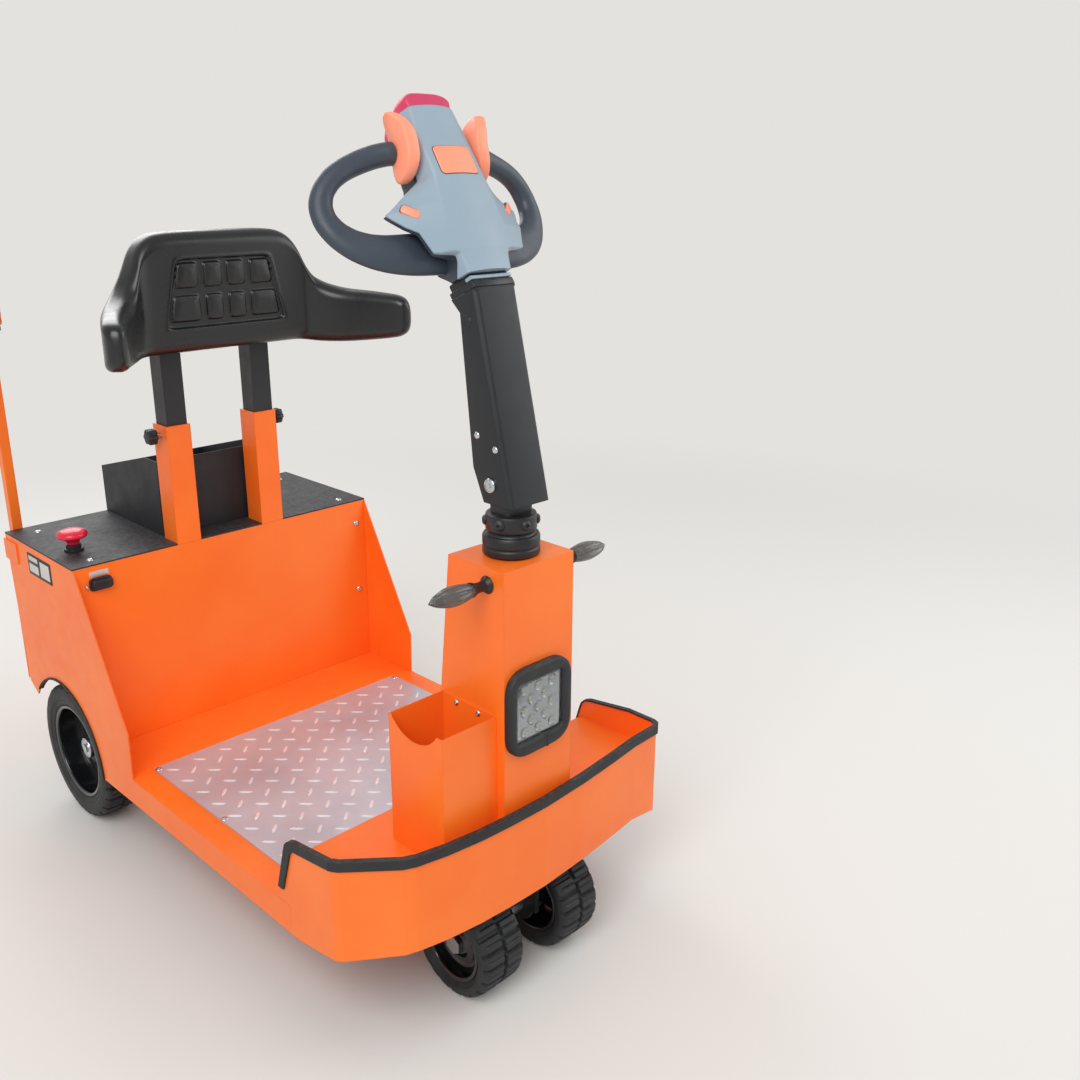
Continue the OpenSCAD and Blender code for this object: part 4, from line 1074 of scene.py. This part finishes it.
    def back_shell(self) -> Surface:
        """Dark shell behind the skin: it backs the wings and holds the body, with rounded back corners."""
        stations = np.unique(np.concatenate([np.linspace(-119, 112.4, 90), np.linspace(-90, -82, 10)]))
        a, y0, b, y1, c, back = eased(self.shell_rows, np.minimum(stations, 110), 3.5).T
        wing = np.clip((b - c - 4) / 8, 0, 1)
        side = np.where(b > c, c, b - 1.2)
        half = np.transpose([
            [a - 4, b - 1.6, b - 2.2, side, side],
            [y0 + 6, y1 + 2.5, y1 + 5 + 7 * wing, np.maximum(y1 + 7, 16 * wing + (y1 + 9) * (1 - wing)), back],
        ])
        outline = np.concatenate([half, half[:, ::-1] * (-1, 1)], 1)
        rounded = softened(outline, [4, 1.5, 3, 4, 11, 11, 4, 3, 1.5, 4], 5)
        return woven(self.put(rounded[..., 0], rounded[..., 1], stations[:, None]))

    def neck(self, half_width: float, low: float, high: float, inset: float = 0.0, reach: float = 1.0) -> Surface:
        """Slice of the short neck between the arm's closed top and the shell.

        Args:
            half_width: half its size across.
            low: where it starts, as a share of the way from the arm's top to the shell.
            high: where it ends.
            inset: how far its front and back are drawn in.
            reach: share of the neck's depth that it covers, from the front.

        Returns:
            The slice, with rounded edges.
        """
        foot, head = np.array([(32.2, 293.5), (83.8, 270.5)]), np.array([(50.0, 317.0), (97.0, 288.0)])
        foot[1] = foot[0] + (foot[1] - foot[0]) * reach
        head[1] = np.floor(head[0] + (head[1] - head[0]) * reach)
        along = (foot[1] - foot[0]) / np.linalg.norm(foot[1] - foot[0]) * inset
        near, far = foot + (head - foot) * low, foot + (head - foot) * high
        ring = np.array([near[0] + along, near[1] - along, far[1] - along, far[0] + along]) + (AT.steering, AT.pivot)
        ring = softened(ring, 2, 3)
        x = np.array([-half_width, 1.5 - half_width, half_width - 1.5, half_width])
        middle = ring.mean(0)
        rings = middle + (ring - middle) * np.array([0.97, 1.0, 1.0, 0.97])[:, None, None]
        return woven(np.roll(raised(rings, x), 1, -1))

    def loops(self) -> Surface:
        """Flattened tube along a smooth path through the table, on both sides.

        Its section is round above and turns into a blade below.
        """
        rows = np.array(self.loop_rows)
        table = np.column_stack([np.arange(len(rows)), rows])
        x, y, s, high, deep = eased(table, np.linspace(0, len(rows) - 1, 84), 1.3).T
        x[0], x[-1] = rows[0, 0], rows[-1, 0]
        return tube(self.put(x, y, s), high, deep, np.array(self.plane.out)).paired()

    def wheels(self) -> Surface:
        """Butterfly thumb wheels, each a long oval with a waist that wraps round the loop's end.

        With v along the oval from -1 to 1, the half width is w (1 - v^2)^0.5 (1 - 0.1 exp(-(3v)^2)), and the
        oval bends outwards by 19 |v|^2.2 mm above the axle and by 8 |v|^2.2 mm below it, where it also bends
        back by 8 v^2 mm.
        """
        b = around(72)
        h = np.array([0, 0, 1.2, 4, 9, 14, 18, 20.8, 22, 22])[:, None] * self.wheel_thick / 22
        draw = np.array([0, 0.86, 0.95, 0.99, 1, 1, 0.98, 0.93, 0.82, 0])[:, None]
        v = np.sin(b)
        long = self.wheel_half[1] * draw * v
        wide = self.wheel_half[0] * draw * np.cos(b) * (1 - 0.1 * np.exp(-((3 * v) ** 2)))
        c, s = math.cos(math.radians(self.wheel_turn)), math.sin(math.radians(self.wheel_turn))
        share = abs(long) / self.wheel_half[1]
        x = self.wheel_foot + h + np.where(long > 0, 19, 8) * share**2.2
        back = self.wheel_at[0] + wide * c - long * s + np.where(long < 0, 8, 0) * share**2
        return woven(self.put(x, back, self.wheel_at[1] + wide * s + long * c), caps=False).paired()

    def panel(self, grow: float, high: float) -> Surface:
        """Square panel that follows the bowed ridge: rings drawn in to its middle, each point a height off the face.

        Args:
            grow: how far its outline stands out, which is more for the dark ring round it that paints the shade in the
                gap.
            high: height of its face.

        Returns:
            The panel.
        """
        outline = finer(rounded_box_outline(70 + 2 * grow, 45 + 2 * grow, 7 + grow, 6))
        draw = np.array([1, 1, 0.99, 0.965, 0.8, 0.6, 0.4, 0.2, 0])[:, None, None]
        rings = outline * draw + self.panel_at
        height = np.array([-3, 0.3, 0.8, 1, 1, 1, 1, 1, 1])[:, None] * high
        x, s = rings[..., 0], rings[..., 1]
        return woven(self.put(x, self.face_depth(x, s) - height, s), caps=False)

    def wing_buttons(self, grow: float, high: float) -> Surface:
        """Slanting button on the facet of each wing.

        Args:
            grow: how far its outline stands out, which is more for the dark ring round it that paints the shade in the
                gap.
            high: height of its face.

        Returns:
            The two buttons.
        """
        across, up, out = (np.array(v) for v in (self.plane.across, self.plane.up, self.plane.out))
        tilt, slant = math.radians(self.button_tilt), math.radians(self.button_slant)
        flat = math.cos(tilt) * across - math.sin(tilt) * out
        place = Placing(*(tuple(v) for v in (
            self.put(*self.button_at), math.cos(slant) * flat + math.sin(slant) * up,
            math.cos(slant) * up - math.sin(slant) * flat, math.sin(tilt) * across + math.cos(tilt) * out)))
        outline = rounded_box_outline(29 + 2 * grow, 12.5 + 2 * grow, 5 + grow, 5)
        return pillow(outline, place, -3, high, min(1.6, high), 3).paired()

    def cap(self) -> Surface:
        """Crimson hood over the head's top: a bowed front edge, then arches to its rounded back.

        At depth y the arch is x = w cos(b)^p, s = foot + (top - foot) sin(b)^p for b from 0 to 180 degrees; the
        half width w, the top and the power p follow y. The front edge steps back at the sides, where the face's
        facets are, and its inner lip follows the face's top.
        """
        b = np.linspace(0, math.pi, 73)
        c, up = np.cos(b), np.clip(np.sin(b), 0, 1)
        front = -9.5 + 23 * between(abs(c), 0.8, 0.97)
        k = np.array([0.012, 0.03, 0.07, 0.12, 0.19, 0.27, 0.36, 0.46, 0.56, 0.66, 0.76, 0.85, 0.92, 0.97, 0.993, 1])
        k = k[:, None]
        draw = np.array([0.985, 0.995] + [1.0] * 10 + [0.996, 0.985, 0.965, 0.94])[:, None]
        y = front + (54 - front) * k
        wide = np.interp(y, (-9.5, 24, 46, 54), (45.8, self.hood_half, self.hood_half, 54.5))
        top = np.interp(y, (-9.5, -4, 12, 32, 46, 54), (163, 168, 172, 168, 158, 144))
        power = np.interp(y, (-9.5, 30), (0.42, 0.85))
        x = wide * draw * np.sign(c) * abs(c) ** power
        s = self.hood_foot + (top - self.hood_foot) * draw * up**power
        lip_x = np.interp(front, (-9.5, 24), (42.5, 53.5)) * np.sign(c) * abs(c) ** 0.42
        lip_s = self.hood_foot + 31.5 * up**0.42
        x = np.concatenate([lip_x[None], lip_x[None], x])
        s = np.concatenate([lip_s[None], lip_s[None], s])
        y = np.concatenate([front[None] + 16, front[None] + 0.6, y])
        return woven(self.put(x, y, s))

    def arm_sheet(self) -> Surface:
        """Folded sheet of the arm: front and cheeks in one, a back plate above the open foot, and the closed top.

        Each row of the first part is a U that lies on the line from the front edge to the back edge of the
        side outline: the cheeks, two bevels, and the same again a sheet's thickness further in.
        """
        front = np.array([(-45, -30), (32, 293)], float)
        back = np.array([(17, -30), (40, 22), (65, 253), (84, 270)], float)
        share = np.array([0, 0.004, 0.16, 0.5, 0.94, 1])
        ahead = front[0] + share[:, None] * (front[1] - front[0])
        behind = np.stack([np.interp(share, (0, 0.16, 0.94, 1), back[:, k]) for k in (0, 1)], 1)
        depth = np.linalg.norm(behind - ahead, axis=1)
        half, bevel, sheet = self.arm_half, self.arm_bevel, self.arm_thick
        inner = half - sheet
        x = np.array([-half, -half, bevel - half, half - bevel, half, half, inner, inner, half - bevel - 1.2,
                      bevel + 1.2 - half, -inner, -inner])
        near = np.array([0, bevel, 0, 0, bevel, 0, 0, bevel + 1.2, sheet, sheet, bevel + 1.2, 0], float)
        far = np.array([1, 0, 0, 0, 0, 1, 1, 0, 0, 0, 0, 1])
        q = near + far * depth[:, None]
        flat = softened(np.stack([np.broadcast_to(x, q.shape), q], -1), 2.4, 4)
        line = (behind - ahead) / depth[:, None]
        place = ahead[:, None] + line[:, None] * flat[..., 1:]
        walls = woven(np.concatenate([flat[..., :1], place + (AT.steering, AT.pivot)], -1))
        rear = np.concatenate([[(41.3, 34)], back[2:], front[1:]])
        within = rear + [(-sheet, 0), (-sheet, 2), (-6, 0), (1, -sheet - 0.5)]
        strip = softened(np.concatenate([rear, within[::-1]]), 1.2, 3) + (AT.steering, AT.pivot)
        plate = woven(np.roll(raised(np.stack([strip, strip]), (-inner - 0.5, inner + 0.5)), 1, -1))
        return joined([walls, plate])

    def arm(self) -> None:
        """The folded sheet, and screws and the plugged hole on both cheeks."""
        make_piece("arm_sheet", self.arm_sheet(), ARM_PAINT, "tiller", ["tiller_arm"], sharp=40)
        heads = joined(screw(facing_side(self.arm_half, y, z), 6, 2.4) for y, z in self.arm_screws)
        ring = ((0, 0.5), (6, 0.5), (7, 0.9), (8.5, 0.9), (9.2, 0.2), (9.2, -0.5))
        plug = turned(ring, facing_side(self.arm_half, *self.arm_hole), 24)
        make_piece("arm_screws", heads.paired(), ZINC, "tiller")
        make_piece("arm_grommets", plug.paired(), NYLON_BLACK, "tiller")

    def build(self) -> None:
        """Builds the arm and the head."""
        self.arm()
        make_piece("head_skin", self.skin(), HEAD_ABS, "tiller", ["tiller_head"], sharp=24)
        make_piece("head_back_shell", self.back_shell(), GRIP_PLASTIC, "tiller", ["tiller_head"])
        make_piece("arm_collar", self.neck(41.5, 0.0, 0.42), ARM_PAINT, "tiller")
        make_piece("neck_lip", self.neck(40, 0.46, 0.66, -1.5, 0.22), HEAD_ABS, "tiller", ["tiller_head"])
        # Black core that shows in the gaps between collar, lip and shell: it paints the shade in those gaps
        make_piece("neck_shadow_core", self.neck(37, 0.02, 1.0, 2), NYLON_BLACK, "tiller")
        make_piece("grip_loops", self.loops(), GRIP_PLASTIC, "tiller", ["handle_loops"], sharp=60)
        make_piece("butterfly_wheels", self.wheels(), PEACH_PLASTIC, "tiller", ["thumb_wheels"], sharp=45)
        buttons = joined([self.panel(0, 1.6), self.wing_buttons(0, 3.4)])
        make_piece("head_buttons", buttons, PEACH_PLASTIC, "tiller", sharp=40)
        # Black rings a little wider than the buttons: painted shade in the gaps round them
        shade_rings = joined([self.panel(0.9, 0.25), self.wing_buttons(1.3, 0.6)])
        make_piece("button_shade_rings", shade_rings, NYLON_BLACK, "tiller", sharp=40)
        make_piece("reverse_button", self.cap(), CRIMSON_PLASTIC, "tiller", ["top_button"], sharp=40)


@dataclass
class Backrest:
    """The moulded pad on its two square tubes.

    rows hold, from the pad's middle to a wing's tip: place across, place forwards, thickness, and the low and
    high edge over low_z. recess is the outline of its sunk field, and cushions are those of the left half in it:
    place across of the left side, below and above, of the right side, and the low and high edge.
    """

    back_y: float = 282.25
    low_z: float = 1006
    rows: Rows = (
        (0, -31.3, 62, 0, 229), (106, -31.3, 62, 0, 229), (144, -31.5, 62, 0, 223), (169, -34, 60, 0, 203),
        (189, -42, 58, -2, 158), (214, -60, 56, -6, 120), (246, -100, 52, -6, 104), (276, -154, 48, 0, 101),
        (303, -208, 44, 8, 96), (310, -223, 40, 13, 92), (314.5, -232, 31, 20, 86), (317, -237, 18, 29, 76),
        (318, -239, 4, 44, 60),
    )
    recess_deep: float = 6.5
    rim_high: float = 1.2
    recess: Pane = ((-130, -101), (130, 101), 1055, 1185)
    cushions: tuple[Pane, ...] = (
        ((5, 5), (46, 45), 1130, 1178), ((57, 56), (107, 99), 1130, 1178),
        ((6, 6), (44, 44), 1067, 1117), ((55, 56), (121, 111), 1067, 1117),
    )
    front_radius: float = 27
    back_radius: float = 13
    wing_x: float = 180
    wing_turn: float = 52
    wing_rate: float = 0.9

    def relief(self, x: Array, z: Array) -> Array:
        """How far the front face is sunk at a place, in millimetres.

        Each outline is the smooth maximum of its four side distances, k log sum exp(d/k). The recess
        sinks with a smooth step over its outline, its rim stands up as a bell curve, and each of the
        eight cushions rises again inside with a slight crown.
        """
        def outline(x: Array, pane: Pane, k: float) -> Array:
            """Distance to an outline whose left and right sides lean, below zero inside."""
            (left, left_top), (right, right_top), low, high = pane
            lean_l, lean_r = (left_top - left) / (high - low), (right_top - right) / (high - low)
            sides = np.stack([
                (left + lean_l * (z - low) - x) / math.hypot(1, lean_l),
                (x - right - lean_r * (z - low)) / math.hypot(1, lean_r), low - z, z - high,
            ])
            return k * np.log(np.exp(np.clip(sides / k, -60, 60)).sum(0))

        edge = outline(x, self.recess, 5)
        sunk = self.recess_deep * between(-edge, -1.5, 2.5) - self.rim_high * np.exp(-((edge - 2) / 3.0) ** 2)
        for cushion in self.cushions:
            for across in (x, -x):
                edge = outline(across, cushion, 3)
                sunk -= (self.recess_deep - 1.0) * between(-edge, -0.5, 3.0) + 1.6 * between(-edge, 1, 16)
        return sunk

    def pad(self) -> Surface:
        """Sections from wing tip to wing tip, each a rounded box that follows the table.

        A section's plane turns with the wing, and its front face is sunk by the relief.
        """
        rows = np.array(self.rows)
        last = len(rows) - 1
        both = np.column_stack([np.arange(-last, last + 1), np.concatenate([rows[:0:-1] * (-1, 1, 1, 1, 1), rows])])
        flat = np.interp(np.linspace(0, 146, 94), rows[:, 0], np.arange(len(rows)))
        wing = np.linspace(flat[-1], last, 84)[1:]
        stations = np.concatenate([-wing[::-1], -flat[:0:-1], flat, wing])
        across, y, thick, low, high = eased(both, stations, 0.9).T
        size = abs(across)
        turn = np.radians(np.clip((size - self.wing_x) * self.wing_rate, 0, self.wing_turn))
        turn = (np.convolve(np.pad(turn, 6, "edge"), np.ones(13) / 13, "valid") * np.sign(across))[:, None]
        # Section coordinates: depth and height from the middle, in half sizes t and h
        across, t, h = across[:, None], thick[:, None] / 2, (high - low)[:, None] / 2
        front, back = (np.minimum(radius, 0.9 * np.minimum(t, h)) for radius in (self.front_radius, self.back_radius))
        top, angle = np.linspace(-1, 1, 96), np.linspace(0, math.pi / 2, 9)
        c, s = np.cos(angle), np.sin(angle)
        depth = np.concatenate([
            np.repeat(-t, len(top), 1), -t + front * (1 - c), t - back + back * s, t - back * (1 - c),
            -t + front - front * s,
        ], 1)
        height = np.concatenate([
            (h - front) * top, (h - front) + front * s, (h - back) + back * c, -(h - back) - back * s,
            -(h - front) - front * c,
        ], 1)
        z = self.low_z + (low + high)[:, None] / 2 + height
        face = z[:, :len(top)]
        depth[:, :len(top)] += self.relief(np.broadcast_to(across, face.shape), face) * (size < 172)[:, None]
        return woven(np.stack([across + depth * np.sin(turn), self.back_y + y[:, None] + depth * np.cos(turn), z], -1))

    def build(self) -> None:
        """Makes the pad and dresses the tubes."""
        dress(CHASSIS_ENAMEL, "backrest_tubes")
        pad = make_piece("back_cushion", self.pad(), PAD_SKIN, "backrest", ["backrest_pad"], sharp=70)


@dataclass
class Studio:
    """Camera at the photograph's angle, soft lamps and a pale floor."""

    camera_at: Point = (-1147.1, -1774.6, 1357.5)
    heading: float = -0.794544
    pitch: float = 0.326784
    roll: float = 0.0061786
    focal_px: float = 1106.23
    picture_px: float = 1080
    floor_colour: str = "#E4E2DE"
    ambient: float = 0.55
    # Name, place in metres, size in metres and watts
    lamps: tuple[tuple[str, Point, float, float], ...] = (
        ("key_lamp", (-2.6, -2.0, 3.4), 2.6, 100), ("fill_lamp", (2.8, -1.8, 2.2), 2.6, 38),
        ("back_lamp", (0.6, 3.2, 2.8), 2.4, 50),
    )
    look_at: Point = (0, 0, 0.6)

    def camera(self) -> None:
        """Camera whose axes are worked out from heading, pitch and roll."""
        level = math.cos(self.pitch)
        forward = np.array([-math.sin(self.heading) * level, math.cos(self.heading) * level, -math.sin(self.pitch)])
        right = np.array([math.cos(self.heading), math.sin(self.heading), 0.0])
        up = np.cross(right, forward)
        c, s = math.cos(self.roll), math.sin(self.roll)
        right, up = c * right + s * up, -s * right + c * up
        data = bpy.data.cameras.new("camera")
        data.sensor_width = 36.0
        data.lens = self.focal_px / self.picture_px * data.sensor_width
        eye = linked("camera", data)
        turn = Matrix(np.column_stack([right, up, -forward]).tolist()).to_4x4()
        eye.matrix_world = Matrix.Translation([v * MM for v in self.camera_at]) @ turn
        bpy.context.scene.camera = eye

    def lamp(self, name: str, at: Point, size: float, watts: float) -> None:
        """A square white area lamp that looks at the machine's middle."""
        data = bpy.data.lights.new(name, "AREA")
        data.shape, data.size, data.energy = "SQUARE", size, watts
        lamp = linked(name, data)
        lamp.location = at
        lamp.rotation_mode = "QUATERNION"
        lamp.rotation_quaternion = (Vector(self.look_at) - Vector(at)).to_track_quat("-Z", "Y")

    def floor(self) -> None:
        """A wide plain disc that fades into the background's colour away from the machine."""
        radii = np.array([0.0, 1500, 3000, 6000, 12000, 40000])[:, None]
        angle = around(48)
        rings = np.stack([radii * np.cos(angle), radii * np.sin(angle)], -1)
        mesh = mesh_of("floor", woven(raised(rings, np.zeros(len(radii))), caps=False))
        floor = linked("floor", mesh)
        paint = bpy.data.materials.new("matt_floor_paint")
        tree = cleared(paint)
        place = node(tree, "ShaderNodeTexCoord").outputs["Object"]
        far = node(tree, "ShaderNodeVectorMath", {"operation": "LENGTH"}, {0: place}).outputs["Value"]
        fade = node(tree, "ShaderNodeMapRange", {"interpolation_type": "SMOOTHSTEP", 1: 1.5, 2: 4.0}, {"Value": far})
        matt = node(tree, "ShaderNodeBsdfPrincipled", {"Base Color": linear(self.floor_colour), "Roughness": 0.9})
        glow = node(tree, "ShaderNodeEmission", {"Color": linear(self.floor_colour), "Strength": 1.0})
        feeds = {0: fade.outputs["Result"], 1: matt.outputs[0], 2: glow.outputs[0]}
        mixed = node(tree, "ShaderNodeMixShader", links=feeds)
        node(tree, "ShaderNodeOutputMaterial", links={"Surface": mixed.outputs[0]})
        mesh.materials.append(paint)

    def sky(self) -> None:
        """Plain ambient light, and the floor's own colour where the camera or glass sees the sky."""
        world = bpy.data.worlds.new("plain_sky")
        bpy.context.scene.world = world
        tree = cleared(world)
        path = node(tree, "ShaderNodeLightPath").outputs
        rays = {0: path["Is Camera Ray"], 1: path["Is Transmission Ray"]}
        seen = node(tree, "ShaderNodeMath", {"operation": "MAXIMUM"}, rays)
        ambient = node(tree, "ShaderNodeBackground", {"Color": linear("#FFFFFF"), "Strength": self.ambient})
        shown = node(tree, "ShaderNodeBackground", {"Color": linear(self.floor_colour), "Strength": 1.0})
        feeds = {0: seen.outputs[0], 1: ambient.outputs[0], 2: shown.outputs[0]}
        mixed = node(tree, "ShaderNodeMixShader", links=feeds)
        node(tree, "ShaderNodeOutputWorld", links={"Surface": mixed.outputs[0]})

    def build(self) -> None:
        """Sets the view up."""
        bpy.context.scene.view_settings.view_transform = "Standard"
        self.camera()
        for name, at, size, watts in self.lamps:
            self.lamp(name, at, size, watts)
        self.floor()
        self.sky()


def main() -> None:
    """Builds the view and the sub-assemblies in order, and logs the name of each."""
    logging.basicConfig(level=logging.INFO, format="%(name)s: %(message)s")
    for assembly in (Studio(), Platform(), Body(), BoxFittings(), RunningGear(), SteeringHead(), Tiller(), Backrest()):
        log.info("building %s", type(assembly).__name__)
        assembly.build()


if __name__ == "__main__":
    main()
